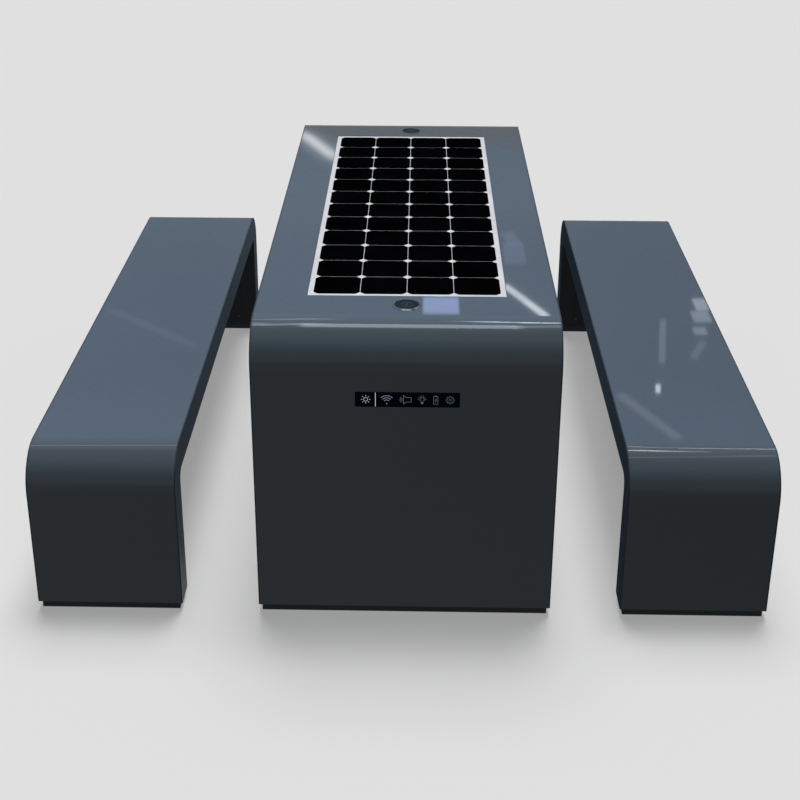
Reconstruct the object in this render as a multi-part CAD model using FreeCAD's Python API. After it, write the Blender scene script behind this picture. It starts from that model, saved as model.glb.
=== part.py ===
import FreeCAD, Part
import math
import os

# A solar charging table with a bench on each side.
# Each piece of furniture is a portal: one bent sheet over the top and down both legs,
# a flat cheek at each side, an inner sheet under the top and along the legs,
# and a tube frame between the sheets that stands on a base plate in each leg.
# X runs across the set, Y along the furniture, Z up. Millimetres.
# The origin is on the ground, in the middle of the whole set.

V = FreeCAD.Vector
Z_AXIS = V(0, 0, 1)
Y_AXIS = V(0, 1, 0)

# Overall sizes. The table and the benches are equally long.
SET_LENGTH = 1800.0
TABLE_WIDTH = 710.0
TABLE_HEIGHT = 750.0
BENCH_WIDTH = 355.0
BENCH_HEIGHT = 421.0
BENCH_DISTANCE = 710.5
TABLE_SIDE_STEP = 9.0

# Portal shells
SHELL_DEPTH = 75.0
OUTER_BEND = 100.0
INNER_BEND = 30.0
OUTER_SHEET = 3.0
INNER_SHEET = 2.0
CHEEK_SHEET = 3.0

# Recessed plinth and base plate of each leg
PLINTH_HEIGHT = 20.0
PLINTH_INSET = 8.0
PLINTH_WALL = 6.0
BASE_PLATE = 8.0
ANCHOR_RADIUS = 7.0
TABLE_ANCHOR_SPACING = 340.0
BENCH_ANCHOR_SPACING = 160.0

# Tube frame
TUBE = 40.0
TUBE_WALL = 3.0
POST_SETBACK = 15.0
TABLE_RAIL_SIDE_SPACE = 105.0
BENCH_RAIL_SIDE_SPACE = 37.5
BAR_WIDTH = 20.0
BAR_WALL = 2.0
TABLE_BARS = 5
BENCH_BARS = 5
CROSS_TUBE_HEIGHT = 25.0
TABLE_CROSS_TUBES = 3
BENCH_CROSS_TUBES = 3
TABLE_CROSS_INSET = 137.0
BENCH_CROSS_INSET = 197.5
FRAME_CLEARANCE = 1.0

# Solar laminate in the table top
CELL_PITCH = 112.2
CELL_GAP = 1.2
CELL_CORNER = 11.0
LAMINATE_BORDER = 12.0
LAMINATE_SIDE_SPACE = 117.0
LAMINATE_END_SPACE = 213.0
CELL_THICKNESS = 0.2
BACKSHEET_THICKNESS = 2.0
SEAL_WIDTH = 1.0
SEAL_DROP = 0.1
LEDGE_OUTER = 15.0
LEDGE_INNER = 14.0
LEDGE_THICKNESS = 3.0
JUNCTION_BOX = (90.0, 60.0, 20.0)
JUNCTION_BOX_SIDE_GAP = 1.0
JUNCTION_BOX_END_SPACE = 56.0

# Wireless chargers in the table top
CHARGER_END_DISTANCE = 157.0
CHARGER_RADIUS = 28.6
CHARGER_CLEARANCE = 0.2
CHARGER_RIM = 1.4
CHARGER_RIM_HEIGHT = 3.0
CHARGER_RIM_LAND = 0.4
CHARGER_RIM_SLOPE = 5.6
CHARGER_RIM_FOOT = 0.3
CHARGER_FLANGE = 3.0
CHARGER_DROP = 0.4
CHARGER_CUP_DEPTH = 14.0
CHARGER_CUP_WALL = 2.0
COIL_INNER = 10.0
COIL_OUTER = 21.0
COIL_THICKNESS = 4.0

# Display strip on the front leg
DISPLAY_WIDTH = 239.5
DISPLAY_HEIGHT = 37.5
DISPLAY_X = 4.3
DISPLAY_DROP = 168.0
DISPLAY_CORNER = 2.5
DISPLAY_CLEARANCE = 0.3
DISPLAY_RIM = 12.0
DISPLAY_LIP = 4.0
DISPLAY_CASE_DEPTH = 25.0
DISPLAY_CASE_WALL = 2.0
DISPLAY_BOARD = 1.6
DISPLAY_BOARD_CLEARANCE = 1.0
DISPLAY_BOSS_RADIUS = 3.0
DISPLAY_BOSS_HEIGHT = 14.0

# Service doors on the inner faces of the table legs
DOOR_WIDTH = 400.0
DOOR_HEIGHT = 430.0
DOOR_BOTTOM = 90.0
DOOR_GAP = 1.5
DOOR_SEAL_THICKNESS = 3.0
DOOR_SEAL_OVERLAP = 10.0

# Hinges and locks of the doors
HINGE_COUNT = 2
HINGE_HEIGHT = 70.0
HINGE_END_DISTANCE = 50.0
KNUCKLE_RADIUS = 4.0
PIN_RADIUS = 2.0
PIN_CLEARANCE = 0.05
KNUCKLE_GAP = 0.3
LEAF_THICKNESS = 1.5
LEAF_WIDTH = 21.0
PIN_HEAD_RADIUS = 3.2
PIN_HEAD_HEIGHT = 1.5
LOCK_EDGE_DISTANCE = 20.0
LOCK_BODY_RADIUS = 8.0
LOCK_FLANGE_RADIUS = 11.0
LOCK_FLANGE_THICKNESS = 2.0
LOCK_BODY_LENGTH = 8.0
LOCK_PLUG_RADIUS = 5.0
LOCK_CLEARANCE = 0.05
CAM_WIDTH = 12.0
CAM_REACH = 34.0
CAM_THICKNESS = 2.0
CAM_STANDOFF = 0.5
KEY_SLOT_DEPTH = 2.0
KEY_SLOT_WIDTH = 1.0

# Cover under the table top
COVER_RAIL_SPACE = 30.0
COVER_END_SPACE = 215.0
COVER_OVERLAP = 18.0
COVER_SHEET = 2.0
COVER_SCREW_COUNT = 7
SCREW_RADIUS = 2.3
SCREW_HOLE_RADIUS = 2.6
SCREW_HEAD_RADIUS = 4.5
SCREW_HEAD_HEIGHT = 2.2
SCREW_LENGTH = 9.0

# Loudspeakers and lamps under the table top
SPEAKER_Y = 400.0
SPEAKER_RADIUS = 40.0
SPEAKER_FLANGE = 8.0
SPEAKER_FLANGE_THICKNESS = 3.0
SPEAKER_DEPTH = 28.0
MAGNET_RADIUS = 22.0
GRILLE_THICKNESS = 1.5
GRILLE_HOLE_RADIUS = 2.5
GRILLE_HOLE_PITCH = 8.0
GRILLE_RINGS = 4
LAMP_SIDE_SPACE = 50.0
LAMP_END_SPACE = 250.0
LAMP_WIDTH = 16.0
LAMP_DEPTH = 14.0
LAMP_FLANGE = 4.0
LAMP_WALL = 1.5
LAMP_CLEARANCE = 0.3

# Equipment in the table legs
EQUIPMENT_PLATE = 2.0
EQUIPMENT_BOTTOM = 130.0
EQUIPMENT_TOP_GAP = 20.0
EQUIPMENT_SETBACK = 20.0
EQUIPMENT_HANG = 130.0
CONTROLLER_SIZE = (170.0, 34.0, 110.0)
CONTROLLER_X = 90.0
FIN_SLOTS = 9
FIN_SLOT_WIDTH = 8.0
FIN_DEPTH = 12.0
ROUTER_SIZE = (120.0, 26.0, 120.0)
ROUTER_X = -100.0
AERIAL_RADIUS = 4.0
AERIAL_HEIGHT = 50.0
BATTERY_DEPTH = 48.0
BATTERY_HEIGHT = 190.0
BATTERY_SIDE_SPACE = 30.0
BATTERY_BETWEEN = 20.0
BATTERY_CORNER = 5.0
POLE_RADIUS = 5.0
POLE_HEIGHT = 6.0
BATTERY_TRAY_HEIGHT = 104.0
BATTERY_TRAY_SHEET = 2.0
BATTERY_TRAY_WALL = 25.0
BATTERY_TRAY_GAP = 5.0
BATTERY_CLEARANCE = 0.5

# Cables inside the table
CABLE_RADIUS = 3.0
THIN_CABLE_RADIUS = 2.5
CABLE_SPACE = 3.0
CABLE_BEND = 16.0
CABLE_DROP = 55.0
CABLE_SCREW_SPACE = 12.0
CABLE_FACE_GAP = 0.5
CONTROLLER_OUTLET_SPACING = 15.0

# Covers over the anchors in the bench legs
ANCHOR_COVER_WIDTH = 220.0
ANCHOR_COVER_HEIGHT = 120.0
ANCHOR_COVER_BOTTOM = 60.0
ANCHOR_COVER_OVERLAP = 12.0

# Places that follow from the sizes above
TABLE_HALF = SET_LENGTH / 2
TABLE_UNDERSIDE = TABLE_HEIGHT - SHELL_DEPTH
TABLE_INNER_TOP = TABLE_UNDERSIDE + INNER_SHEET
LAMP_X = TABLE_WIDTH / 2 - LAMP_SIDE_SPACE
LAMP_LENGTH = SET_LENGTH - 2 * LAMP_END_SPACE
LEG_INNER_FACE = -TABLE_HALF + SHELL_DEPTH
LEG_OUTER_INSIDE = -TABLE_HALF + OUTER_SHEET
LEG_INNER_INSIDE = LEG_INNER_FACE - INNER_SHEET
TABLE_RAIL_X = TABLE_WIDTH / 2 - TABLE_RAIL_SIDE_SPACE
BENCH_RAIL_X = BENCH_WIDTH / 2 - BENCH_RAIL_SIDE_SPACE
CELL_COLUMNS = int((TABLE_WIDTH - 2 * LAMINATE_SIDE_SPACE - 2 * LAMINATE_BORDER) / CELL_PITCH)
CELL_ROWS = int((SET_LENGTH - 2 * LAMINATE_END_SPACE - 2 * LAMINATE_BORDER) / CELL_PITCH)
LAMINATE_WIDTH = CELL_COLUMNS * CELL_PITCH + 2 * LAMINATE_BORDER
LAMINATE_LENGTH = CELL_ROWS * CELL_PITCH + 2 * LAMINATE_BORDER
LAMINATE_BOTTOM = TABLE_HEIGHT - OUTER_SHEET
CELL_BOTTOM = LAMINATE_BOTTOM + BACKSHEET_THICKNESS
GLASS_BOTTOM = CELL_BOTTOM + CELL_THICKNESS
LEDGE_BOTTOM = LAMINATE_BOTTOM - LEDGE_THICKNESS
POST_INNER_X = TABLE_RAIL_X - TUBE / 2
BATTERY_WIDTH = POST_INNER_X - BATTERY_SIDE_SPACE - BATTERY_BETWEEN / 2
BATTERY_X = (BATTERY_BETWEEN + BATTERY_WIDTH) / 2
LEDGE_HOLE_X = LAMINATE_WIDTH / 2 + SEAL_WIDTH - LEDGE_INNER
JUNCTION_BOX_X = -LEDGE_HOLE_X + JUNCTION_BOX_SIDE_GAP + JUNCTION_BOX[0] / 2
JUNCTION_BOX_Y = -LAMINATE_LENGTH / 2 + JUNCTION_BOX_END_SPACE + JUNCTION_BOX[1] / 2
CHARGER_Y = (-TABLE_HALF + CHARGER_END_DISTANCE, TABLE_HALF - CHARGER_END_DISTANCE)
COVER_OPENING_X = POST_INNER_X - COVER_RAIL_SPACE
COVER_OPENING_Y = TABLE_HALF - COVER_END_SPACE
DISPLAY_Z = TABLE_HEIGHT - DISPLAY_DROP
DISPLAY_CASE_WIDTH = DISPLAY_WIDTH + 2 * DISPLAY_RIM
DISPLAY_CASE_HEIGHT = DISPLAY_HEIGHT + 2 * DISPLAY_RIM
DISPLAY_CASE_BOTTOM = DISPLAY_Z - DISPLAY_CASE_HEIGHT / 2
EQUIPMENT_TOP = DISPLAY_CASE_BOTTOM - EQUIPMENT_TOP_GAP
CONTROLLER_Z = EQUIPMENT_TOP - EQUIPMENT_HANG - CONTROLLER_SIZE[2]
ROUTER_Z = EQUIPMENT_TOP - EQUIPMENT_HANG - ROUTER_SIZE[2]
HINGE_AXIS_X = -DOOR_WIDTH / 2
HINGE_AXIS_Y = LEG_INNER_FACE + KNUCKLE_RADIUS + KNUCKLE_GAP
LOCK_X = DOOR_WIDTH / 2 - LOCK_EDGE_DISTANCE
LOCK_Z = DOOR_BOTTOM + DOOR_HEIGHT / 2
EQUIPMENT_FACE = -TABLE_HALF + EQUIPMENT_SETBACK + EQUIPMENT_PLATE

nodes = {}


def box(x0, x1, y0, y1, z0, z1):
    return Part.makeBox(x1 - x0, y1 - y0, z1 - z0, V(x0, y0, z0))


def rod(radius, length, start, direction=Z_AXIS):
    return Part.makeCylinder(radius, length, start, direction)


def ring(outer, inner, height, start, direction=Z_AXIS):
    """A flat ring that starts at a point and grows along a direction."""
    return rod(outer, height, start, direction).cut(rod(inner, height, start, direction))


def frame_ring(half_x, half_y, border_in, z0, z1, border_out=0.0):
    """A rectangular ring round the Z axis, measured from an edge at half_x, half_y."""
    outer = box(-half_x - border_out, half_x + border_out, -half_y - border_out, half_y + border_out, z0, z1)
    inner = box(-half_x + border_in, half_x - border_in, -half_y + border_in, half_y - border_in, z0, z1)
    return outer.cut(inner)


def turned(shape):
    """The same shape at the rear leg: turned half round the Z axis."""
    copy = shape.copy()
    copy.rotate(V(0, 0, 0), Z_AXIS, 180)
    return copy


def both_legs(shape):
    return [shape, turned(shape)]


def group(shapes):
    solids = []
    for shape in shapes:
        solids.extend(shape.Solids)
    return Part.makeCompound(solids)


def quarter_arc(centre_y, centre_z, radius, start):
    """A quarter circle in the YZ plane, counted in degrees from +Y towards +Z."""
    points = []
    for angle in (start, start + 45, start + 90):
        turn = math.radians(angle)
        points.append(V(0, centre_y + radius * math.cos(turn), centre_z + radius * math.sin(turn)))
    return Part.Arc(*points).toShape()


def line(y0, z0, y1, z1):
    return Part.LineSegment(V(0, y0, z0), V(0, y1, z1)).toShape()


def portal_band(half, top, bottom, depth, outer_bend, inner_bend, x0, x1):
    """A rounded portal seen along X, as deep as depth, from x0 to x1."""
    inside = half - depth
    ceiling = top - depth
    edges = [
        line(-half, bottom, -half, top - outer_bend),
        quarter_arc(-half + outer_bend, top - outer_bend, outer_bend, 90),
        line(-half + outer_bend, top, half - outer_bend, top),
        quarter_arc(half - outer_bend, top - outer_bend, outer_bend, 0),
        line(half, top - outer_bend, half, bottom),
        line(half, bottom, inside, bottom),
        line(inside, bottom, inside, ceiling - inner_bend),
        quarter_arc(inside - inner_bend, ceiling - inner_bend, inner_bend, 0),
        line(inside - inner_bend, ceiling, -inside + inner_bend, ceiling),
        quarter_arc(-inside + inner_bend, ceiling - inner_bend, inner_bend, 90),
        line(-inside, ceiling - inner_bend, -inside, bottom),
        line(-inside, bottom, -half, bottom),
    ]
    face = Part.Face(Part.Wire(Part.__sortEdges__(edges)))
    face.translate(V(x0, 0, 0))
    return face.extrude(V(x1 - x0, 0, 0))


def square_tube_y(x, y0, y1, z0, width, height, wall):
    outer = box(x - width / 2, x + width / 2, y0, y1, z0, z0 + height)
    inner = box(x - width / 2 + wall, x + width / 2 - wall, y0, y1, z0 + wall, z0 + height - wall)
    return outer.cut(inner)


def square_tube_x(x0, x1, y, z0, width, height, wall):
    outer = box(x0, x1, y - width / 2, y + width / 2, z0, z0 + height)
    inner = box(x0, x1, y - width / 2 + wall, y + width / 2 - wall, z0 + wall, z0 + height - wall)
    return outer.cut(inner)


def square_post(x, y0, z0, z1):
    outer = box(x - TUBE / 2, x + TUBE / 2, y0, y0 + TUBE, z0, z1)
    inner = box(x - TUBE / 2 + TUBE_WALL, x + TUBE / 2 - TUBE_WALL,
                y0 + TUBE_WALL, y0 + TUBE - TUBE_WALL, z0, z1)
    return outer.cut(inner)


def spread(count, reach):
    """Evenly spaced places from -reach to +reach."""
    if count == 1:
        return [0.0]
    return [-reach + 2 * reach * index / (count - 1) for index in range(count)]


def outer_sheet(width, length, height):
    side = width / 2 - CHEEK_SHEET
    return portal_band(length / 2, height, PLINTH_HEIGHT, OUTER_SHEET, OUTER_BEND,
                       OUTER_BEND - OUTER_SHEET, -side, side)


def inner_sheet(width, length, height):
    side = width / 2 - CHEEK_SHEET
    step = SHELL_DEPTH - INNER_SHEET
    return portal_band(length / 2 - step, height - step, PLINTH_HEIGHT, INNER_SHEET,
                       INNER_BEND + INNER_SHEET, INNER_BEND, -side, side)


def cheek(width, length, height, side):
    edge = side * width / 2
    x0, x1 = sorted((edge, edge - side * CHEEK_SHEET))
    return portal_band(length / 2, height, PLINTH_HEIGHT, SHELL_DEPTH, OUTER_BEND, INNER_BEND, x0, x1)


def base_plates(width, length, anchor_spacing):
    side = width / 2 - CHEEK_SHEET
    front = -length / 2 + OUTER_SHEET
    back = -length / 2 + SHELL_DEPTH - INNER_SHEET
    middle = -length / 2 + SHELL_DEPTH / 2
    plate = box(-side, side, front, back, PLINTH_HEIGHT, PLINTH_HEIGHT + BASE_PLATE)
    for x in (-anchor_spacing / 2, anchor_spacing / 2):
        plate = plate.cut(rod(ANCHOR_RADIUS, BASE_PLATE, V(x, middle, PLINTH_HEIGHT)))
    return group(both_legs(plate))


def plinths(width, length):
    side = width / 2 - PLINTH_INSET
    front = -length / 2 + PLINTH_INSET
    back = -length / 2 + SHELL_DEPTH - PLINTH_INSET
    outer = box(-side, side, front, back, 0, PLINTH_HEIGHT)
    inner = box(-side + PLINTH_WALL, side - PLINTH_WALL,
                front + PLINTH_WALL, back - PLINTH_WALL, 0, PLINTH_HEIGHT)
    return group(both_legs(outer.cut(inner)))


def rail_reach(length, height):
    """How far a rail may run before it meets the outer bend."""
    rail_top = height - SHELL_DEPTH + INNER_SHEET + TUBE
    rise = rail_top - (height - OUTER_BEND)
    inside = OUTER_BEND - OUTER_SHEET
    bend_limit = length / 2 - OUTER_BEND + math.sqrt(max(inside ** 2 - rise ** 2, 0)) - FRAME_CLEARANCE
    over_post = length / 2 - OUTER_SHEET - POST_SETBACK - TUBE / 2
    return min(bend_limit, over_post)


def rails(rail_x, length, height):
    reach = rail_reach(length, height)
    bottom = height - SHELL_DEPTH + INNER_SHEET
    return [square_tube_y(x, -reach, reach, bottom, TUBE, TUBE, TUBE_WALL) for x in (-rail_x, rail_x)]


def posts(rail_x, length, height):
    back = -length / 2 + OUTER_SHEET + POST_SETBACK
    top = height - SHELL_DEPTH + INNER_SHEET
    made = []
    for x in (-rail_x, rail_x):
        made.extend(both_legs(square_post(x, back, PLINTH_HEIGHT + BASE_PLATE, top)))
    return made


def cross_tubes(rail_x, count, reach, height):
    """Tubes between the rails, flush with their tops."""
    inner = rail_x - TUBE / 2
    top = height - SHELL_DEPTH + INNER_SHEET + TUBE
    return [square_tube_x(-inner, inner, y, top - CROSS_TUBE_HEIGHT, TUBE, CROSS_TUBE_HEIGHT, TUBE_WALL)
            for y in spread(count, reach)]


def support_bar(rail_x, y, bottom, top):
    outside = rail_x + TUBE / 2
    return square_tube_x(-outside, outside, y, bottom, BAR_WIDTH, top - bottom, BAR_WALL)


def cap_screw(place, inward):
    """A pan head screw; its head is outside the place, its shank runs inward."""
    head = rod(SCREW_HEAD_RADIUS, SCREW_HEAD_HEIGHT, place - inward * SCREW_HEAD_HEIGHT, inward)
    rim = [edge for edge in head.Edges
           if abs(edge.CenterOfMass.distanceToPoint(place) - SCREW_HEAD_HEIGHT) < 0.01]
    head = head.makeFillet(SCREW_HEAD_HEIGHT / 2, rim)
    shank = rod(SCREW_RADIUS, SCREW_LENGTH, place, inward)
    return head.fuse(shank).removeSplitter()


def rounded_slab(x, z, width, height, corner, y0, y1):
    """A slab in a leg face with its four corners rounded."""
    slab = box(x - width / 2, x + width / 2, y0, y1, z - height / 2, z + height / 2)
    edges = [edge for edge in slab.Edges if abs(edge.tangentAt(edge.FirstParameter).y) > 0.9]
    return slab.makeFillet(corner, edges)


# Solar laminate, its seal and the ledge that carries it
def solar_cell(x, y):
    half = (CELL_PITCH - CELL_GAP) / 2
    short = half - CELL_CORNER
    corners = [
        (short, half), (half, short), (half, -short), (short, -half),
        (-short, -half), (-half, -short), (-half, short), (-short, half),
    ]
    points = [V(x + dx, y + dy, CELL_BOTTOM) for dx, dy in corners]
    face = Part.Face(Part.makePolygon(points + points[:1]))
    return face.extrude(V(0, 0, CELL_THICKNESS))


def solar_parts():
    half_x = LAMINATE_WIDTH / 2
    half_y = LAMINATE_LENGTH / 2
    aperture_x = half_x + SEAL_WIDTH
    aperture_y = half_y + SEAL_WIDTH
    nodes["solar_glass"] = box(-half_x, half_x, -half_y, half_y, GLASS_BOTTOM, TABLE_HEIGHT)
    cells = []
    for column in range(CELL_COLUMNS):
        for row in range(CELL_ROWS):
            x = (column - (CELL_COLUMNS - 1) / 2) * CELL_PITCH
            y = (row - (CELL_ROWS - 1) / 2) * CELL_PITCH
            cells.append(solar_cell(x, y))
    nodes["solar_cells"] = group(cells)
    nodes["solar_backsheet"] = box(-half_x, half_x, -half_y, half_y, LAMINATE_BOTTOM, CELL_BOTTOM)
    nodes["solar_seal"] = frame_ring(half_x, half_y, 0, LAMINATE_BOTTOM, TABLE_HEIGHT - SEAL_DROP,
                                     SEAL_WIDTH)
    nodes["solar_ledge"] = frame_ring(aperture_x, aperture_y, LEDGE_INNER, LEDGE_BOTTOM, LAMINATE_BOTTOM,
                                      LEDGE_OUTER)
    width, length, height = JUNCTION_BOX
    nodes["solar_junction_box"] = box(
        JUNCTION_BOX_X - width / 2, JUNCTION_BOX_X + width / 2,
        JUNCTION_BOX_Y - length / 2, JUNCTION_BOX_Y + length / 2,
        LAMINATE_BOTTOM - height, LAMINATE_BOTTOM)


def solar_aperture():
    half_x = LAMINATE_WIDTH / 2 + SEAL_WIDTH
    half_y = LAMINATE_LENGTH / 2 + SEAL_WIDTH
    return box(-half_x, half_x, -half_y, half_y, TABLE_HEIGHT - OUTER_SHEET, TABLE_HEIGHT)


# Wireless chargers
CHARGER_BORE = CHARGER_RADIUS + CHARGER_CLEARANCE
CHARGER_RIM_RADIUS = CHARGER_BORE + CHARGER_RIM
CHARGER_SEAT = TABLE_HEIGHT - OUTER_SHEET
CHARGER_TOP = TABLE_HEIGHT + CHARGER_RIM_HEIGHT


def charger_hole(y):
    return rod(CHARGER_RIM_RADIUS + CHARGER_CLEARANCE, OUTER_SHEET, V(0, y, TABLE_HEIGHT - OUTER_SHEET))


def rounded_disc(radius, height, start, rounding):
    """A disc with its upper edge rounded."""
    disc = rod(radius, height, start)
    upper = [edge for edge in disc.Edges if edge.BoundBox.ZMin > start.z + height / 2]
    return disc.makeFillet(rounding, upper)


def charger_rim(y):
    """A low sloping rim that stands on the sheet, with a neck that fills the hole."""
    top_radius = CHARGER_BORE + CHARGER_RIM_LAND
    foot_radius = top_radius + CHARGER_RIM_SLOPE
    slope_height = CHARGER_RIM_HEIGHT - CHARGER_RIM_FOOT
    foot = rod(foot_radius, CHARGER_RIM_FOOT, V(0, y, TABLE_HEIGHT))
    slope = Part.makeCone(foot_radius, top_radius, slope_height, V(0, y, TABLE_HEIGHT + CHARGER_RIM_FOOT))
    neck = rod(CHARGER_RIM_RADIUS, OUTER_SHEET, V(0, y, CHARGER_SEAT))
    bore = rod(CHARGER_BORE, CHARGER_TOP - CHARGER_SEAT, V(0, y, CHARGER_SEAT))
    return foot.fuse(slope).fuse(neck).cut(bore).removeSplitter()


def charger_cover(y):
    height = CHARGER_TOP - CHARGER_DROP - CHARGER_SEAT
    return rounded_disc(CHARGER_RADIUS, height, V(0, y, CHARGER_SEAT), CHARGER_DROP)


def charger_cup(y):
    """A cup under the cover, with a flange below the sheet."""
    flange_radius = CHARGER_RIM_RADIUS + CHARGER_FLANGE
    radius = CHARGER_RADIUS - CHARGER_CUP_WALL
    flange_bottom = CHARGER_SEAT - CHARGER_CUP_WALL
    cup_bottom = CHARGER_SEAT - CHARGER_CUP_DEPTH
    flange = rod(flange_radius, CHARGER_CUP_WALL, V(0, y, flange_bottom))
    cup = rod(radius, CHARGER_CUP_DEPTH, V(0, y, cup_bottom))
    hollow = rod(radius - CHARGER_CUP_WALL, CHARGER_CUP_DEPTH, V(0, y, cup_bottom + CHARGER_CUP_WALL))
    return flange.fuse(cup).cut(hollow).removeSplitter()


def charger_coil(y):
    floor = CHARGER_SEAT - CHARGER_CUP_DEPTH + CHARGER_CUP_WALL
    return ring(COIL_OUTER, COIL_INNER, COIL_THICKNESS, V(0, y, floor))


def charger_parts():
    nodes["charger_covers"] = group([charger_cover(y) for y in CHARGER_Y])
    nodes["charger_rims"] = group([charger_rim(y) for y in CHARGER_Y])
    nodes["charger_cups"] = group([charger_cup(y) for y in CHARGER_Y])
    nodes["charger_coils"] = group([charger_coil(y) for y in CHARGER_Y])


# Display strip on the front leg
DISPLAY_WINDOW_WIDTH = DISPLAY_WIDTH - 2 * DISPLAY_LIP
DISPLAY_WINDOW_HEIGHT = DISPLAY_HEIGHT - 2 * DISPLAY_LIP


def display_aperture():
    return rounded_slab(DISPLAY_X, DISPLAY_Z, DISPLAY_WIDTH + 2 * DISPLAY_CLEARANCE,
                        DISPLAY_HEIGHT + 2 * DISPLAY_CLEARANCE, DISPLAY_CORNER + DISPLAY_CLEARANCE,
                        -TABLE_HALF, LEG_OUTER_INSIDE)


def display_parts():
    nodes["display_lens"] = rounded_slab(DISPLAY_X, DISPLAY_Z, DISPLAY_WIDTH, DISPLAY_HEIGHT,
                                         DISPLAY_CORNER, -TABLE_HALF, LEG_OUTER_INSIDE)
    case_back = LEG_OUTER_INSIDE + DISPLAY_CASE_DEPTH
    case = rounded_slab(DISPLAY_X, DISPLAY_Z, DISPLAY_CASE_WIDTH, DISPLAY_CASE_HEIGHT,
                        DISPLAY_CORNER, LEG_OUTER_INSIDE, case_back)
    cavity = rounded_slab(DISPLAY_X, DISPLAY_Z, DISPLAY_WINDOW_WIDTH, DISPLAY_WINDOW_HEIGHT,
                          DISPLAY_CORNER, LEG_OUTER_INSIDE, case_back - DISPLAY_CASE_WALL)
    case = case.cut(cavity)
    boss_x = DISPLAY_WINDOW_WIDTH / 2 - 2 * DISPLAY_BOSS_RADIUS
    boss_start = case_back - DISPLAY_CASE_WALL - DISPLAY_BOSS_HEIGHT
    for x in (-boss_x, 0, boss_x):
        boss = rod(DISPLAY_BOSS_RADIUS, DISPLAY_BOSS_HEIGHT, V(DISPLAY_X + x, boss_start, DISPLAY_Z), Y_AXIS)
        case = case.fuse(boss)
    nodes["display_case"] = case.removeSplitter()
    board_width = DISPLAY_WINDOW_WIDTH - 2 * DISPLAY_BOARD_CLEARANCE
    board_height = DISPLAY_WINDOW_HEIGHT - 2 * DISPLAY_BOARD_CLEARANCE
    nodes["display_board"] = box(DISPLAY_X - board_width / 2, DISPLAY_X + board_width / 2,
                                 boss_start - DISPLAY_BOARD, boss_start,
                                 DISPLAY_Z - board_height / 2, DISPLAY_Z + board_height / 2)


# Service doors, drawn at the front leg
def door_opening():
    return box(-DOOR_WIDTH / 2, DOOR_WIDTH / 2, LEG_INNER_INSIDE, LEG_INNER_FACE,
               DOOR_BOTTOM, DOOR_BOTTOM + DOOR_HEIGHT)


def door_panel():
    half = DOOR_WIDTH / 2 - DOOR_GAP
    panel = box(-half, half, LEG_INNER_INSIDE, LEG_INNER_FACE,
                DOOR_BOTTOM + DOOR_GAP, DOOR_BOTTOM + DOOR_HEIGHT - DOOR_GAP)
    hole = rod(LOCK_BODY_RADIUS, INNER_SHEET, V(LOCK_X, LEG_INNER_INSIDE, LOCK_Z), Y_AXIS)
    return panel.cut(hole)


def door_seal():
    """A rubber frame behind the opening's edge, which the shut door rests on."""
    back = LEG_INNER_INSIDE - DOOR_SEAL_THICKNESS
    reach = DOOR_WIDTH / 2 + DOOR_SEAL_OVERLAP
    hole = DOOR_WIDTH / 2 - DOOR_SEAL_OVERLAP
    outer = box(-reach, reach, back, LEG_INNER_INSIDE,
                DOOR_BOTTOM - DOOR_SEAL_OVERLAP, DOOR_BOTTOM + DOOR_HEIGHT + DOOR_SEAL_OVERLAP)
    inner = box(-hole, hole, back, LEG_INNER_INSIDE,
                DOOR_BOTTOM + DOOR_SEAL_OVERLAP, DOOR_BOTTOM + DOOR_HEIGHT - DOOR_SEAL_OVERLAP)
    return outer.cut(inner)


def hinge_bottoms():
    """The lower ends of the hinges on one door."""
    low = DOOR_BOTTOM + HINGE_END_DISTANCE
    high = DOOR_BOTTOM + DOOR_HEIGHT - HINGE_END_DISTANCE - HINGE_HEIGHT
    return [low + (high - low) * index / (HINGE_COUNT - 1) for index in range(HINGE_COUNT)]


def knuckle(z0, z1, side):
    """A knuckle and the tongue that joins it to its leaf; side is -1 on the leg, +1 on the door."""
    barrel = rod(KNUCKLE_RADIUS, z1 - z0, V(HINGE_AXIS_X, HINGE_AXIS_Y, z0))
    far = HINGE_AXIS_X + side * (KNUCKLE_RADIUS + KNUCKLE_GAP)
    near = HINGE_AXIS_X + side * KNUCKLE_RADIUS / 2
    x0, x1 = sorted((far, near))
    tongue = box(x0, x1, LEG_INNER_FACE, LEG_INNER_FACE + LEAF_THICKNESS, z0, z1)
    return barrel.fuse(tongue)


def leaf(z0, side):
    near = HINGE_AXIS_X + side * (KNUCKLE_RADIUS + KNUCKLE_GAP)
    far = near + side * LEAF_WIDTH
    x0, x1 = sorted((near, far))
    return box(x0, x1, LEG_INNER_FACE, LEG_INNER_FACE + LEAF_THICKNESS, z0, z0 + HINGE_HEIGHT)


def pin_bore(z0):
    return rod(PIN_RADIUS + PIN_CLEARANCE, HINGE_HEIGHT, V(HINGE_AXIS_X, HINGE_AXIS_Y, z0))


def fixed_leaf(z0):
    third = HINGE_HEIGHT / 3
    shape = leaf(z0, -1)
    shape = shape.fuse(knuckle(z0, z0 + third, -1))
    shape = shape.fuse(knuckle(z0 + 2 * third, z0 + HINGE_HEIGHT, -1))
    return shape.cut(pin_bore(z0)).removeSplitter()


def moving_leaf(z0):
    third = HINGE_HEIGHT / 3
    shape = leaf(z0, 1).fuse(knuckle(z0 + third + KNUCKLE_GAP, z0 + 2 * third - KNUCKLE_GAP, 1))
    return shape.cut(pin_bore(z0)).removeSplitter()


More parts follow.
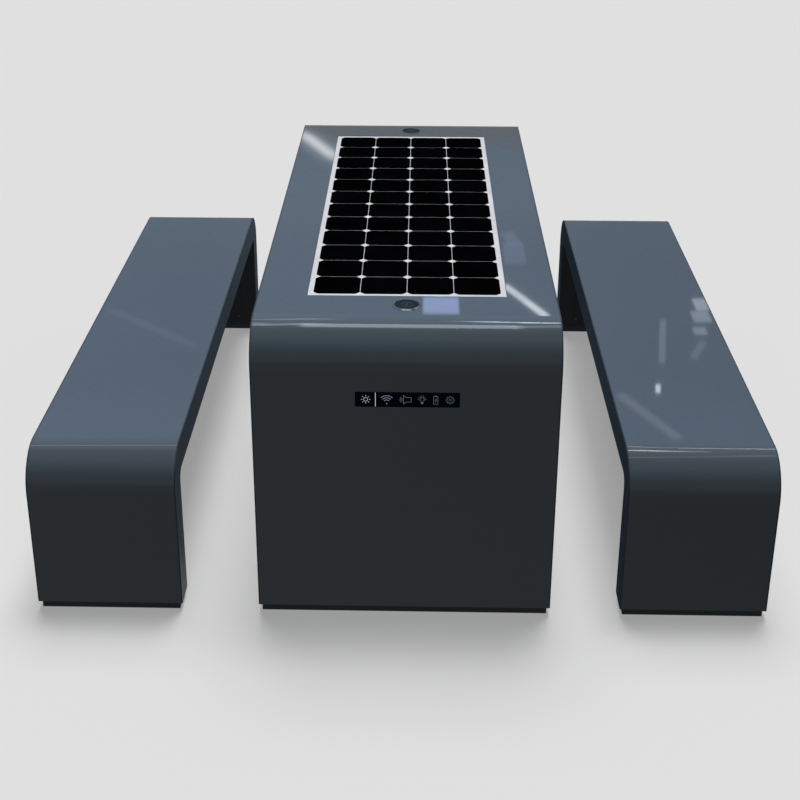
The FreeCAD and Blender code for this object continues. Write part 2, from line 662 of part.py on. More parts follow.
def hinge_pin(z0):
    pin = rod(PIN_RADIUS, HINGE_HEIGHT, V(HINGE_AXIS_X, HINGE_AXIS_Y, z0))
    head = rod(PIN_HEAD_RADIUS, PIN_HEAD_HEIGHT, V(HINGE_AXIS_X, HINGE_AXIS_Y, z0 + HINGE_HEIGHT))
    foot = rod(PIN_HEAD_RADIUS, PIN_HEAD_HEIGHT, V(HINGE_AXIS_X, HINGE_AXIS_Y, z0 - PIN_HEAD_HEIGHT))
    return pin.fuse(head).fuse(foot).removeSplitter()


def lock_body():
    """A barrel through the door with a round flange on the outside."""
    start = LEG_INNER_FACE - LOCK_BODY_LENGTH
    barrel = rod(LOCK_BODY_RADIUS, LOCK_BODY_LENGTH, V(LOCK_X, start, LOCK_Z), Y_AXIS)
    flange = rod(LOCK_FLANGE_RADIUS, LOCK_FLANGE_THICKNESS, V(LOCK_X, LEG_INNER_FACE, LOCK_Z), Y_AXIS)
    whole = LOCK_BODY_LENGTH + LOCK_FLANGE_THICKNESS
    bore = rod(LOCK_PLUG_RADIUS + LOCK_CLEARANCE, whole, V(LOCK_X, start, LOCK_Z), Y_AXIS)
    return barrel.fuse(flange).cut(bore).removeSplitter()


def lock_cam():
    """The key plug with its cam behind the door. The cam points up, which is unlocked."""
    start = LEG_INNER_FACE - LOCK_BODY_LENGTH - CAM_STANDOFF
    plug_length = LOCK_BODY_LENGTH + LOCK_FLANGE_THICKNESS + CAM_STANDOFF
    plug = rod(LOCK_PLUG_RADIUS, plug_length, V(LOCK_X, start, LOCK_Z), Y_AXIS)
    back = start - CAM_THICKNESS
    arm = box(LOCK_X - CAM_WIDTH / 2, LOCK_X + CAM_WIDTH / 2, back, start, LOCK_Z, LOCK_Z + CAM_REACH)
    hub = rod(CAM_WIDTH / 2, CAM_THICKNESS, V(LOCK_X, back, LOCK_Z), Y_AXIS)
    slot_top = start + plug_length
    slot = box(LOCK_X - LOCK_PLUG_RADIUS / 2, LOCK_X + LOCK_PLUG_RADIUS / 2,
               slot_top - KEY_SLOT_DEPTH, slot_top,
               LOCK_Z - KEY_SLOT_WIDTH / 2, LOCK_Z + KEY_SLOT_WIDTH / 2)
    return plug.fuse(hub).fuse(arm).cut(slot).removeSplitter()


def door_parts():
    hinges = hinge_bottoms()
    nodes["front_service_door"] = door_panel()
    nodes["rear_service_door"] = turned(door_panel())
    nodes["door_seals"] = group(both_legs(door_seal()))
    front_leaves = group([moving_leaf(z) for z in hinges])
    nodes["front_door_leaves"] = front_leaves
    nodes["rear_door_leaves"] = turned(front_leaves)
    nodes["leg_hinge_leaves"] = group(both_legs(group([fixed_leaf(z) for z in hinges])))
    nodes["hinge_pins"] = group(both_legs(group([hinge_pin(z) for z in hinges])))
    nodes["front_lock_body"] = lock_body()
    nodes["rear_lock_body"] = turned(lock_body())
    nodes["front_lock_cam"] = lock_cam()
    nodes["rear_lock_cam"] = turned(lock_cam())


# Cover under the table top, with the loudspeakers, and the lamps beside it
def cover_screw_places():
    x = COVER_OPENING_X + COVER_OVERLAP / 2
    y = COVER_OPENING_Y + COVER_OVERLAP / 2
    places = []
    for side_y in spread(COVER_SCREW_COUNT, y):
        places.extend([(-x, side_y), (x, side_y)])
    places.extend([(0.0, -y), (0.0, y)])
    return places


def screw_cuts(z0, z1):
    return [rod(SCREW_HOLE_RADIUS, z1 - z0, V(x, y, z0)) for x, y in cover_screw_places()]


def underside_cover():
    x = COVER_OPENING_X + COVER_OVERLAP
    y = COVER_OPENING_Y + COVER_OVERLAP
    bottom = TABLE_UNDERSIDE - COVER_SHEET
    cover = box(-x, x, -y, y, bottom, TABLE_UNDERSIDE)
    for speaker_y in (-SPEAKER_Y, SPEAKER_Y):
        cover = cover.cut(rod(SPEAKER_RADIUS, COVER_SHEET, V(0, speaker_y, bottom)))
    for hole in screw_cuts(bottom, TABLE_UNDERSIDE):
        cover = cover.cut(hole)
    return cover


def loudspeaker(y):
    """A flanged basket with a cone recess and a magnet, seated on the cover."""
    flange_radius = SPEAKER_RADIUS + SPEAKER_FLANGE
    flange = rod(flange_radius, SPEAKER_FLANGE_THICKNESS, V(0, y, TABLE_UNDERSIDE))
    basket_height = SPEAKER_DEPTH / 2
    basket = Part.makeCone(SPEAKER_RADIUS, MAGNET_RADIUS, basket_height,
                           V(0, y, TABLE_UNDERSIDE + SPEAKER_FLANGE_THICKNESS))
    magnet_bottom = TABLE_UNDERSIDE + SPEAKER_FLANGE_THICKNESS + basket_height
    magnet = rod(MAGNET_RADIUS, SPEAKER_DEPTH - basket_height, V(0, y, magnet_bottom))
    cone_radius = SPEAKER_RADIUS - SPEAKER_FLANGE / 2
    hollow = Part.makeCone(cone_radius, MAGNET_RADIUS / 2, basket_height, V(0, y, TABLE_UNDERSIDE))
    return flange.fuse(basket).fuse(magnet).cut(hollow).removeSplitter()


def speaker_grille(y):
    top = TABLE_UNDERSIDE - COVER_SHEET
    radius = SPEAKER_RADIUS + SPEAKER_FLANGE
    grille = rod(radius, GRILLE_THICKNESS, V(0, y, top - GRILLE_THICKNESS))
    holes = [rod(GRILLE_HOLE_RADIUS, GRILLE_THICKNESS, V(0, y, top - GRILLE_THICKNESS))]
    for ring_number in range(1, GRILLE_RINGS + 1):
        for step in range(6 * ring_number):
            turn = 2 * math.pi * step / (6 * ring_number)
            distance = ring_number * GRILLE_HOLE_PITCH
            place = V(distance * math.cos(turn), y + distance * math.sin(turn), top - GRILLE_THICKNESS)
            holes.append(rod(GRILLE_HOLE_RADIUS, GRILLE_THICKNESS, place))
    return grille.cut(Part.makeCompound(holes))


def lamp_slot(x):
    half = LAMP_WIDTH / 2 + LAMP_CLEARANCE
    reach = LAMP_LENGTH / 2 + LAMP_CLEARANCE
    return box(x - half, x + half, -reach, reach, TABLE_UNDERSIDE, TABLE_INNER_TOP)


def lamp_channel(x):
    """A U channel through the slot, with a flange under the sheet."""
    half = LAMP_WIDTH / 2
    reach = LAMP_LENGTH / 2
    flange_bottom = TABLE_UNDERSIDE - LAMP_WALL
    body = box(x - half, x + half, -reach, reach, flange_bottom, TABLE_UNDERSIDE + LAMP_DEPTH)
    flange = box(x - half - LAMP_FLANGE, x + half + LAMP_FLANGE, -reach - LAMP_FLANGE, reach + LAMP_FLANGE,
                 flange_bottom, TABLE_UNDERSIDE)
    hollow = box(x - half + LAMP_WALL, x + half - LAMP_WALL, -reach + LAMP_WALL, reach - LAMP_WALL,
                 flange_bottom, TABLE_UNDERSIDE + LAMP_DEPTH - LAMP_WALL)
    return body.fuse(flange).cut(hollow).removeSplitter()


def lamp_diffuser(x):
    half = LAMP_WIDTH / 2 - LAMP_WALL
    reach = LAMP_LENGTH / 2 - LAMP_WALL
    bottom = TABLE_UNDERSIDE - LAMP_WALL
    return box(x - half, x + half, -reach, reach, bottom, bottom + 2 * LAMP_WALL)


def underside_parts():
    nodes["underside_cover"] = underside_cover()
    nodes["loudspeakers"] = group([loudspeaker(y) for y in (-SPEAKER_Y, SPEAKER_Y)])
    nodes["speaker_grilles"] = group([speaker_grille(y) for y in (-SPEAKER_Y, SPEAKER_Y)])
    nodes["lamp_channels"] = group([lamp_channel(x) for x in (-LAMP_X, LAMP_X)])
    nodes["lamp_diffusers"] = group([lamp_diffuser(x) for x in (-LAMP_X, LAMP_X)])


# Equipment in the legs: controller and router in front, batteries in the rear
def equipment_parts():
    back = EQUIPMENT_FACE - EQUIPMENT_PLATE
    nodes["equipment_plate"] = box(-POST_INNER_X, POST_INNER_X, back, EQUIPMENT_FACE,
                                   EQUIPMENT_BOTTOM, EQUIPMENT_TOP)
    width, depth, height = CONTROLLER_SIZE
    front = EQUIPMENT_FACE + depth
    controller = box(CONTROLLER_X - width / 2, CONTROLLER_X + width / 2,
                     EQUIPMENT_FACE, front, CONTROLLER_Z, CONTROLLER_Z + height)
    for index in range(FIN_SLOTS):
        x = CONTROLLER_X + (index - (FIN_SLOTS - 1) / 2) * width / (FIN_SLOTS + 1)
        controller = controller.cut(box(x - FIN_SLOT_WIDTH / 2, x + FIN_SLOT_WIDTH / 2,
                                        front - FIN_DEPTH, front, CONTROLLER_Z, CONTROLLER_Z + height))
    nodes["charge_controller"] = controller
    width, depth, height = ROUTER_SIZE
    router = box(ROUTER_X - width / 2, ROUTER_X + width / 2,
                 EQUIPMENT_FACE, EQUIPMENT_FACE + depth, ROUTER_Z, ROUTER_Z + height)
    for x in (ROUTER_X - width / 3, ROUTER_X + width / 3):
        aerial = V(x, EQUIPMENT_FACE + depth / 2, ROUTER_Z + height)
        router = router.fuse(rod(AERIAL_RADIUS, AERIAL_HEIGHT, aerial))
    nodes["wifi_router"] = router.removeSplitter()
    width, depth, height = BATTERY_WIDTH, BATTERY_DEPTH, BATTERY_HEIGHT
    tray_front = LEG_OUTER_INSIDE + BATTERY_TRAY_GAP
    inside_front = tray_front + BATTERY_TRAY_SHEET
    tray_back = inside_front + depth + 2 * BATTERY_CLEARANCE + BATTERY_TRAY_SHEET
    floor = BATTERY_TRAY_HEIGHT
    tray = box(-POST_INNER_X, POST_INNER_X, tray_front, tray_back, floor - BATTERY_TRAY_SHEET,
               floor + BATTERY_TRAY_WALL)
    hollow = box(-POST_INNER_X + BATTERY_TRAY_SHEET, POST_INNER_X - BATTERY_TRAY_SHEET, inside_front,
                 tray_back - BATTERY_TRAY_SHEET, floor, floor + BATTERY_TRAY_WALL)
    nodes["battery_tray"] = turned(tray.cut(hollow))
    pack_y = inside_front + BATTERY_CLEARANCE
    packs = []
    for x in (-BATTERY_X, BATTERY_X):
        pack = box(x - width / 2, x + width / 2, pack_y, pack_y + depth, floor, floor + height)
        upright = [edge for edge in pack.Edges if abs(edge.tangentAt(edge.FirstParameter).z) > 0.9]
        pack = pack.makeFillet(BATTERY_CORNER, upright)
        for step in (-1, 1):
            pole = V(x + step * width / 4, pack_y + depth / 4, floor + height)
            pack = pack.fuse(rod(POLE_RADIUS, POLE_HEIGHT, pole))
        packs.append(pack.removeSplitter())
    nodes["battery_packs"] = turned(group(packs))


# Cables inside the table
def cable(points, radius, bends):
    """A round cable along straight runs with a tangent arc at each inner point."""
    edges = []
    start = points[0]
    for index in range(1, len(points) - 1):
        before, corner, after = points[index - 1], points[index], points[index + 1]
        into = (corner - before).normalize()
        out = (after - corner).normalize()
        half_turn = into.getAngle(out) / 2
        bend = bends[index - 1]
        reach = bend * math.tan(half_turn)
        first = corner - into * reach
        last = corner + out * reach
        inward = (out - into).normalize()
        centre = corner + inward * (bend / math.cos(half_turn))
        middle = centre - inward * bend
        edges.append(Part.LineSegment(start, first).toShape())
        edges.append(Part.Arc(first, middle, last).toShape())
        start = last
    edges.append(Part.LineSegment(start, points[-1]).toShape())
    path = Part.Wire(edges)
    heading = (points[1] - points[0]).normalize()
    section = Part.Wire(Part.Circle(points[0], heading, radius).toShape())
    shape = path.makePipeShell([section], True, False)
    ratio = shape.Volume / (math.pi * radius ** 2 * path.Length)
    print("cable: length %.0f mm, volume over section times length %.4f" % (path.Length, ratio))
    return shape


def cable_parts():
    thick_z = TABLE_INNER_TOP + CABLE_RADIUS
    thin_z = TABLE_INNER_TOP + THIN_CABLE_RADIUS
    thick_y = LEG_INNER_INSIDE - CABLE_RADIUS
    thin_y = LEG_INNER_INSIDE - THIN_CABLE_RADIUS
    corner = INNER_BEND + INNER_SHEET + CABLE_RADIUS
    thin_corner = INNER_BEND + INNER_SHEET + THIN_CABLE_RADIUS
    controller_top = CONTROLLER_Z + CONTROLLER_SIZE[2]
    controller_y = EQUIPMENT_FACE + CONTROLLER_SIZE[1] / 2
    side = POST_INNER_X - CABLE_SPACE - CABLE_RADIUS
    far_lane = side - CABLE_RADIUS - CABLE_SPACE - THIN_CABLE_RADIUS
    near_lane = far_lane - 2 * THIN_CABLE_RADIUS - CABLE_SCREW_SPACE
    box_lane = JUNCTION_BOX_X - JUNCTION_BOX[0] / 2 + 2 * CABLE_RADIUS
    turn_z = EQUIPMENT_TOP + CABLE_DROP
    low_z = controller_top + CABLE_DROP
    box_face = JUNCTION_BOX_Y - JUNCTION_BOX[1] / 2
    box_z = LAMINATE_BOTTOM - JUNCTION_BOX[2] / 2
    solar_end = CONTROLLER_X - 4 * CONTROLLER_OUTLET_SPACING
    solar = cable([
        V(box_lane, box_face, box_z), V(box_lane, box_face - CABLE_DROP / 2, box_z),
        V(-side, box_face - 2 * CABLE_DROP, thick_z),
        V(-side, thick_y, thick_z), V(-side, thick_y, turn_z), V(solar_end, controller_y, low_z),
        V(solar_end, controller_y, controller_top),
    ], CABLE_RADIUS, [CABLE_BEND, CABLE_BEND, corner, CABLE_BEND, CABLE_BEND])
    battery_end = CONTROLLER_X + 4 * CONTROLLER_OUTLET_SPACING
    battery_top = BATTERY_TRAY_HEIGHT + BATTERY_HEIGHT
    battery_y = -LEG_OUTER_INSIDE - BATTERY_TRAY_GAP - BATTERY_TRAY_SHEET - BATTERY_DEPTH / 2
    battery = cable([
        V(battery_end, battery_y, battery_top), V(battery_end, battery_y, battery_top + CABLE_DROP),
        V(side, -thick_y, turn_z), V(side, -thick_y, thick_z), V(side, thick_y, thick_z),
        V(side, thick_y, turn_z), V(battery_end, controller_y, low_z),
        V(battery_end, controller_y, controller_top),
    ], CABLE_RADIUS, [CABLE_BEND, CABLE_BEND, corner, corner, CABLE_BEND, CABLE_BEND])
    cup_bottom = CHARGER_SEAT - CHARGER_CUP_DEPTH
    near_y, far_y = CHARGER_Y
    near_end = CONTROLLER_X + 2 * CONTROLLER_OUTLET_SPACING
    near = cable([
        V(0, near_y, cup_bottom), V(0, near_y, thin_z), V(near_lane, near_y, thin_z),
        V(near_lane, thin_y, thin_z), V(near_lane, thin_y, turn_z), V(near_end, controller_y, low_z),
        V(near_end, controller_y, controller_top),
    ], THIN_CABLE_RADIUS, [CABLE_BEND, CABLE_BEND, thin_corner, CABLE_BEND, CABLE_BEND])
    far_end = CONTROLLER_X + 3 * CONTROLLER_OUTLET_SPACING
    far = cable([
        V(0, far_y, cup_bottom), V(0, far_y, thin_z), V(far_lane, far_y, thin_z),
        V(far_lane, thin_y, thin_z), V(far_lane, thin_y, turn_z), V(far_end, controller_y, low_z),
        V(far_end, controller_y, controller_top),
    ], THIN_CABLE_RADIUS, [CABLE_BEND, CABLE_BEND, thin_corner, CABLE_BEND, CABLE_BEND])
    display_y = EQUIPMENT_FACE + THIN_CABLE_RADIUS + CABLE_FACE_GAP
    display = rod(THIN_CABLE_RADIUS, DISPLAY_CASE_BOTTOM - controller_top,
                  V(CONTROLLER_X, display_y, controller_top))
    nodes["internal_cables"] = group([solar, battery, near, far, display])


# The table
def table():
    sheet = outer_sheet(TABLE_WIDTH, SET_LENGTH, TABLE_HEIGHT).cut(solar_aperture())
    for y in CHARGER_Y:
        sheet = sheet.cut(charger_hole(y))
    nodes["table_outer_sheet"] = sheet.cut(display_aperture())
    nodes["table_left_cheek"] = cheek(TABLE_WIDTH, SET_LENGTH, TABLE_HEIGHT, -1)
    nodes["table_right_cheek"] = cheek(TABLE_WIDTH, SET_LENGTH, TABLE_HEIGHT, 1)
    inner = inner_sheet(TABLE_WIDTH, SET_LENGTH, TABLE_HEIGHT)
    for opening in both_legs(door_opening()):
        inner = inner.cut(opening)
    inner = inner.cut(box(-COVER_OPENING_X, COVER_OPENING_X, -COVER_OPENING_Y, COVER_OPENING_Y,
                          TABLE_UNDERSIDE, TABLE_INNER_TOP))
    for hole in screw_cuts(TABLE_UNDERSIDE, TABLE_INNER_TOP):
        inner = inner.cut(hole)
    for x in (-LAMP_X, LAMP_X):
        inner = inner.cut(lamp_slot(x))
    nodes["table_inner_sheet"] = inner
    nodes["table_base_plates"] = base_plates(TABLE_WIDTH, SET_LENGTH, TABLE_ANCHOR_SPACING)
    nodes["table_plinths"] = plinths(TABLE_WIDTH, SET_LENGTH)
    nodes["table_rails"] = group(rails(TABLE_RAIL_X, SET_LENGTH, TABLE_HEIGHT))
    nodes["table_posts"] = group(posts(TABLE_RAIL_X, SET_LENGTH, TABLE_HEIGHT))
    bar_reach = LAMINATE_LENGTH / 2 - TABLE_CROSS_INSET
    nodes["table_cross_tubes"] = group(
        cross_tubes(TABLE_RAIL_X, TABLE_CROSS_TUBES, bar_reach, TABLE_HEIGHT))
    rail_top = TABLE_INNER_TOP + TUBE
    bars = [support_bar(TABLE_RAIL_X, y, rail_top, LEDGE_BOTTOM) for y in spread(TABLE_BARS, bar_reach)]
    end_y = TABLE_HALF - OUTER_BEND - BAR_WIDTH / 2
    for x in (-TABLE_RAIL_X, TABLE_RAIL_X):
        for y in (-end_y, end_y):
            bars.append(square_tube_x(x - TUBE / 2, x + TUBE / 2, y, rail_top, BAR_WIDTH,
                                      TABLE_HEIGHT - OUTER_SHEET - rail_top, BAR_WALL))
    nodes["table_support_bars"] = group(bars)
    solar_parts()
    charger_parts()
    display_parts()
    door_parts()
    underside_parts()
    equipment_parts()
    cable_parts()


# The benches
def anchor_cover_screws():
    """Screw places on one anchor cover at the front leg, as x and z."""
    half = ANCHOR_COVER_WIDTH / 2 + ANCHOR_COVER_OVERLAP / 2
    low = ANCHOR_COVER_BOTTOM - ANCHOR_COVER_OVERLAP / 2
    high = ANCHOR_COVER_BOTTOM + ANCHOR_COVER_HEIGHT + ANCHOR_COVER_OVERLAP / 2
    return [(x, z) for x in (-half, half) for z in (low, high)]


def anchor_cover(length):
    face = -length / 2 + SHELL_DEPTH
    half = ANCHOR_COVER_WIDTH / 2 + ANCHOR_COVER_OVERLAP
    low = ANCHOR_COVER_BOTTOM - ANCHOR_COVER_OVERLAP
    high = ANCHOR_COVER_BOTTOM + ANCHOR_COVER_HEIGHT + ANCHOR_COVER_OVERLAP
    cover = box(-half, half, face, face + COVER_SHEET, low, high)
    for x, z in anchor_cover_screws():
        cover = cover.cut(rod(SCREW_HOLE_RADIUS, COVER_SHEET, V(x, face, z), Y_AXIS))
    return cover


def bench_inner_sheet():
    sheet = inner_sheet(BENCH_WIDTH, SET_LENGTH, BENCH_HEIGHT)
    face = -SET_LENGTH / 2 + SHELL_DEPTH
    half = ANCHOR_COVER_WIDTH / 2
    cuts = [box(-half, half, face - INNER_SHEET, face, ANCHOR_COVER_BOTTOM,
                ANCHOR_COVER_BOTTOM + ANCHOR_COVER_HEIGHT)]
    for x, z in anchor_cover_screws():
        cuts.append(rod(SCREW_HOLE_RADIUS, INNER_SHEET, V(x, face - INNER_SHEET, z), Y_AXIS))
    for cut in cuts:
        for shape in both_legs(cut):
            sheet = sheet.cut(shape)
    return sheet


def bench_frame():
    made = rails(BENCH_RAIL_X, SET_LENGTH, BENCH_HEIGHT) + posts(BENCH_RAIL_X, SET_LENGTH, BENCH_HEIGHT)
    reach = SET_LENGTH / 2 - OUTER_BEND - BAR_WIDTH / 2
    made.extend(cross_tubes(BENCH_RAIL_X, BENCH_CROSS_TUBES, reach - BENCH_CROSS_INSET, BENCH_HEIGHT))
    bottom = BENCH_HEIGHT - SHELL_DEPTH + INNER_SHEET + TUBE
    top = BENCH_HEIGHT - OUTER_SHEET
    made.extend([support_bar(BENCH_RAIL_X, y, bottom, top) for y in spread(BENCH_BARS, reach)])
    return group(made)


def bench_screws():
    face = -SET_LENGTH / 2 + SHELL_DEPTH + COVER_SHEET
    screws = [cap_screw(V(x, face, z), V(0, -1, 0)) for x, z in anchor_cover_screws()]
    return group(both_legs(group(screws)))


def bench(name):
    nodes[name + "_outer_sheet"] = outer_sheet(BENCH_WIDTH, SET_LENGTH, BENCH_HEIGHT)
    nodes[name + "_cheeks"] = group([cheek(BENCH_WIDTH, SET_LENGTH, BENCH_HEIGHT, side) for side in (-1, 1)])
    nodes[name + "_inner_sheet"] = bench_inner_sheet()
    nodes[name + "_frame"] = bench_frame()
    nodes[name + "_base_plates"] = base_plates(BENCH_WIDTH, SET_LENGTH, BENCH_ANCHOR_SPACING)
    nodes[name + "_plinths"] = plinths(BENCH_WIDTH, SET_LENGTH)


def place(names, x):
    for name in names:
        nodes[name] = nodes[name].translated(V(x, 0, 0))


def build():
    table()
    table_names = list(nodes)
    place(table_names, TABLE_SIDE_STEP)
    screws = [cap_screw(V(x + TABLE_SIDE_STEP, y, TABLE_UNDERSIDE - COVER_SHEET), Z_AXIS)
              for x, y in cover_screw_places()]
    covers = []
    for name, x in (("left_bench", -BENCH_DISTANCE), ("right_bench", BENCH_DISTANCE)):
        before = set(nodes)
        bench(name)
        place([added for added in nodes if added not in before], x)
        covers.append(group(both_legs(anchor_cover(SET_LENGTH))).translated(V(x, 0, 0)))
        screws.append(bench_screws().translated(V(x, 0, 0)))
    nodes["anchor_covers"] = group(covers)
    nodes["cover_screws"] = group(screws)


build()
os.makedirs("parts", exist_ok=True)
for name, shape in nodes.items():
    shape.exportStep("parts/" + name + ".step")
    flaws = [solid for solid in shape.Solids if not solid.isValid() or solid.Volume <= 0]
    print(name, "solids:", len(shape.Solids), "faulty:", len(flaws))
print("nodes:", len(nodes))
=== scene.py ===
import math

import bmesh
import bpy
from mathutils import Matrix, Vector


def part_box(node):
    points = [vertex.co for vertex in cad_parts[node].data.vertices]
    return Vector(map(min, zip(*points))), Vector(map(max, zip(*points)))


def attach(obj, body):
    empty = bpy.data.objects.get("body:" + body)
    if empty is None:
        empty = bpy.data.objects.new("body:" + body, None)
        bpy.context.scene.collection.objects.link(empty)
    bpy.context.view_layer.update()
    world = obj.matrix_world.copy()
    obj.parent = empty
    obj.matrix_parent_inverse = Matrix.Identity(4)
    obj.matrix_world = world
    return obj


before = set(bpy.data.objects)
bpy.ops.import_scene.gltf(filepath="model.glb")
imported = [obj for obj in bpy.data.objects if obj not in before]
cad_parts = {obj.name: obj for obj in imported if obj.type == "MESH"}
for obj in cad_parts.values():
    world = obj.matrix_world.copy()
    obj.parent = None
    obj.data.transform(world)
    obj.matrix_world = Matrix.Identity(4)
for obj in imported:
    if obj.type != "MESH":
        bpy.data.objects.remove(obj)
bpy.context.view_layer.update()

# Places taken from the CAD frame, in metres
SHEET_LOW, SHEET_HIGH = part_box("table_outer_sheet")
TABLE_X = (SHEET_LOW.x + SHEET_HIGH.x) / 2
LENS_LOW, LENS_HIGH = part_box("display_lens")
LENS_Z = (LENS_LOW.z + LENS_HIGH.z) / 2
PAD_LOW, PAD_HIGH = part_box("charger_covers")
PAD_RADIUS = (PAD_HIGH.x - PAD_LOW.x) / 2
PACKS_LOW, PACKS_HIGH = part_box("battery_packs")
PACK_HALF_WIDTH = 0.095
ROUTER_LOW, ROUTER_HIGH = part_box("wifi_router")
ROUTER_X = (ROUTER_LOW.x + ROUTER_HIGH.x) / 2
MM = 0.001

# Colours, as linear light
SLATE = (0.049, 0.060, 0.074)
# The cheeks' colour is the slate paint made darker: painted shade for sides that face away from the light
SHADED_SIDE = (0.033, 0.043, 0.056)
PLINTH = (0.032, 0.037, 0.040)
BOARD_VARNISH = (0.020, 0.10, 0.05)
WHITE = (1.0, 1.0, 1.0)
BLACK = (0.0, 0.0, 0.0)


def scaled(colour, share):
    return tuple(c * share for c in colour)


# Materials. The spans are the ranges that a noise's and a flake's values lie in
NOISE_SPAN = (0.35, 0.65)
FULL_SPAN = (0.0, 1.0)
COAT_IOR = 1.42


class Nodes:
    """A node tree with short ways to add to it. A value is a number, a colour or another node's output."""

    def __init__(self, tree):
        self.nodes = tree.nodes
        self.links = tree.links

    def put(self, value, socket):
        if isinstance(value, bpy.types.NodeSocket):
            self.links.new(value, socket)
        else:
            socket.default_value = value

    def add(self, kind, inputs=(), **settings):
        node = self.nodes.new("ShaderNode" + kind)
        for name, value in settings.items():
            setattr(node, name, value)
        for name, value in dict(inputs).items():
            self.put(value, node.inputs[name])
        return node

    def math(self, operation, first, second):
        return self.add("Math", {0: first, 1: second}, operation=operation).outputs[0]

    def mix(self, factor, first, second, blend="MIX"):
        inputs = {"Factor": factor, "A": first, "B": second}
        return self.add("Mix", inputs, data_type="RGBA", blend_type=blend).outputs["Result"]

    def spread(self, value, low, high, to_low=0.0, to_high=1.0, kind="LINEAR"):
        inputs = {"Value": value, "From Min": low, "From Max": high, "To Min": to_low, "To Max": to_high}
        return self.add("MapRange", inputs, interpolation_type=kind).outputs["Result"]


class Surface(Nodes):
    """A node material that is built up from a Principled shader."""

    def __init__(self, name, colour, roughness, metallic=0.0, specular=0.5):
        self.material = bpy.data.materials.new(name)
        self.material.use_nodes = True
        super().__init__(self.material.node_tree)
        self.shader = self.nodes["Principled BSDF"]
        self.shader.inputs["Base Color"].default_value = (*colour, 1.0)
        self.shader.inputs["Roughness"].default_value = roughness
        self.shader.inputs["Metallic"].default_value = metallic
        self.shader.inputs["Specular IOR Level"].default_value = specular
        self.colour = colour
        self.roughness = roughness
        self.place = self.add("TexCoord").outputs["Object"]
        self.normal = None

    def noise(self, scale, detail=3.0, stretch=None):
        place = self.place
        if stretch:
            place = self.add("Mapping", {"Vector": self.place, "Scale": stretch}).outputs["Vector"]
        inputs = {"Vector": place, "Scale": scale, "Detail": detail}
        return self.add("TexNoise", inputs).outputs["Fac"]

    def vary_colour(self, value, amount, span=NOISE_SPAN):
        """Lightens and darkens the base colour by a share, as the value goes over its span."""
        dark = (*scaled(self.colour, 1 - amount), 1.0)
        light = (*scaled(self.colour, 1 + amount), 1.0)
        self.put(self.mix(self.spread(value, *span), dark, light), self.shader.inputs["Base Color"])

    def vary_roughness(self, value, amount, span=NOISE_SPAN):
        spread = self.spread(value, *span, self.roughness - amount, self.roughness + amount)
        self.put(spread, self.shader.inputs["Roughness"])

    def bump(self, value, depth):
        node = self.add("Bump", {"Distance": depth, "Height": value})
        if self.normal:
            self.put(self.normal, node.inputs["Normal"])
        self.normal = node.outputs["Normal"]
        self.put(self.normal, self.shader.inputs["Normal"])

    def round_edges(self, radius):
        self.normal = self.add("Bevel", {"Radius": radius}, samples=4).outputs["Normal"]
        self.put(self.normal, self.shader.inputs["Normal"])

    def coat(self, weight, roughness):
        self.shader.inputs["Coat Weight"].default_value = weight
        self.shader.inputs["Coat Roughness"].default_value = roughness
        self.shader.inputs["Coat IOR"].default_value = COAT_IOR


def paint(name, colour, coat, coat_roughness, edge):
    """Smooth powder coat: nearly even, with a clear gloss and slightly rounded edges."""
    surface = Surface(name, colour, 0.5, specular=0.1)
    surface.coat(coat, coat_roughness)
    surface.round_edges(edge)
    surface.vary_colour(surface.noise(2.0, 2.0), 0.01)
    surface.vary_roughness(surface.noise(40.0), 0.03)
    return surface.material


def metal(name, colour, roughness, grain=(1.0, 1.0, 1.0), scale=300.0):
    surface = Surface(name, colour, roughness, metallic=1.0)
    surface.vary_colour(surface.noise(8.0, 4.0), 0.08)
    surface.vary_roughness(surface.noise(scale, stretch=grain), 0.08)
    surface.bump(surface.noise(scale, stretch=grain), 0.00002)
    return surface.material


def zinc(name):
    """Galvanised steel with its large pale flakes."""
    surface = Surface(name, (0.42, 0.44, 0.46), 0.42, metallic=0.9)
    flakes = surface.add("TexVoronoi", {"Vector": surface.place, "Scale": 120.0}).outputs["Color"]
    surface.vary_colour(flakes, 0.18, FULL_SPAN)
    surface.vary_roughness(flakes, 0.1, FULL_SPAN)
    return surface.material


def plastic(name, colour, roughness, specular=0.4):
    surface = Surface(name, colour, roughness, specular=specular)
    surface.vary_colour(surface.noise(12.0), 0.06)
    surface.vary_roughness(surface.noise(90.0), 0.05)
    surface.bump(surface.noise(900.0, 2.0), 0.00004)
    return surface.material


def light_face(name, colour, strength):
    """A face that glows in its own colour."""
    surface = Surface(name, colour, 0.4)
    surface.shader.inputs["Emission Color"].default_value = (*colour, 1.0)
    surface.shader.inputs["Emission Strength"].default_value = strength
    surface.vary_colour(surface.noise(400.0), 0.05)
    return surface.material


def cell_material():
    surface = Surface("silicon_cells", (0.0010, 0.0011, 0.0016), 0.6, specular=0.0)
    surface.vary_colour(surface.noise(9.0, 2.0), 0.4)
    surface.vary_roughness(surface.noise(60.0), 0.1)
    surface.bump(surface.noise(1500.0, 1.0), 0.00001)
    return surface.material


def glass_material():
    """Clear glass with a coating that takes its reflection away; it only darkens a little."""
    surface = Surface("solar_glass", BLACK, 0.3, specular=0.0)
    surface.shader.inputs["Alpha"].default_value = 0.03
    surface.vary_roughness(surface.noise(30.0), 0.05)
    return surface.material


def lens_material():
    surface = Surface("display_glass", (0.0005, 0.004, 0.012), 0.08, specular=0.02)
    surface.vary_roughness(surface.noise(25.0), 0.03)
    surface.round_edges(0.0005)
    return surface.material


def charger_material():
    surface = Surface("charger_face", (0.007, 0.014, 0.020), 0.45, specular=0.04)
    surface.round_edges(0.0006)
    surface.vary_colour(surface.noise(60.0), 0.1)
    surface.bump(surface.noise(700.0, 2.0), 0.00003)
    return surface.material


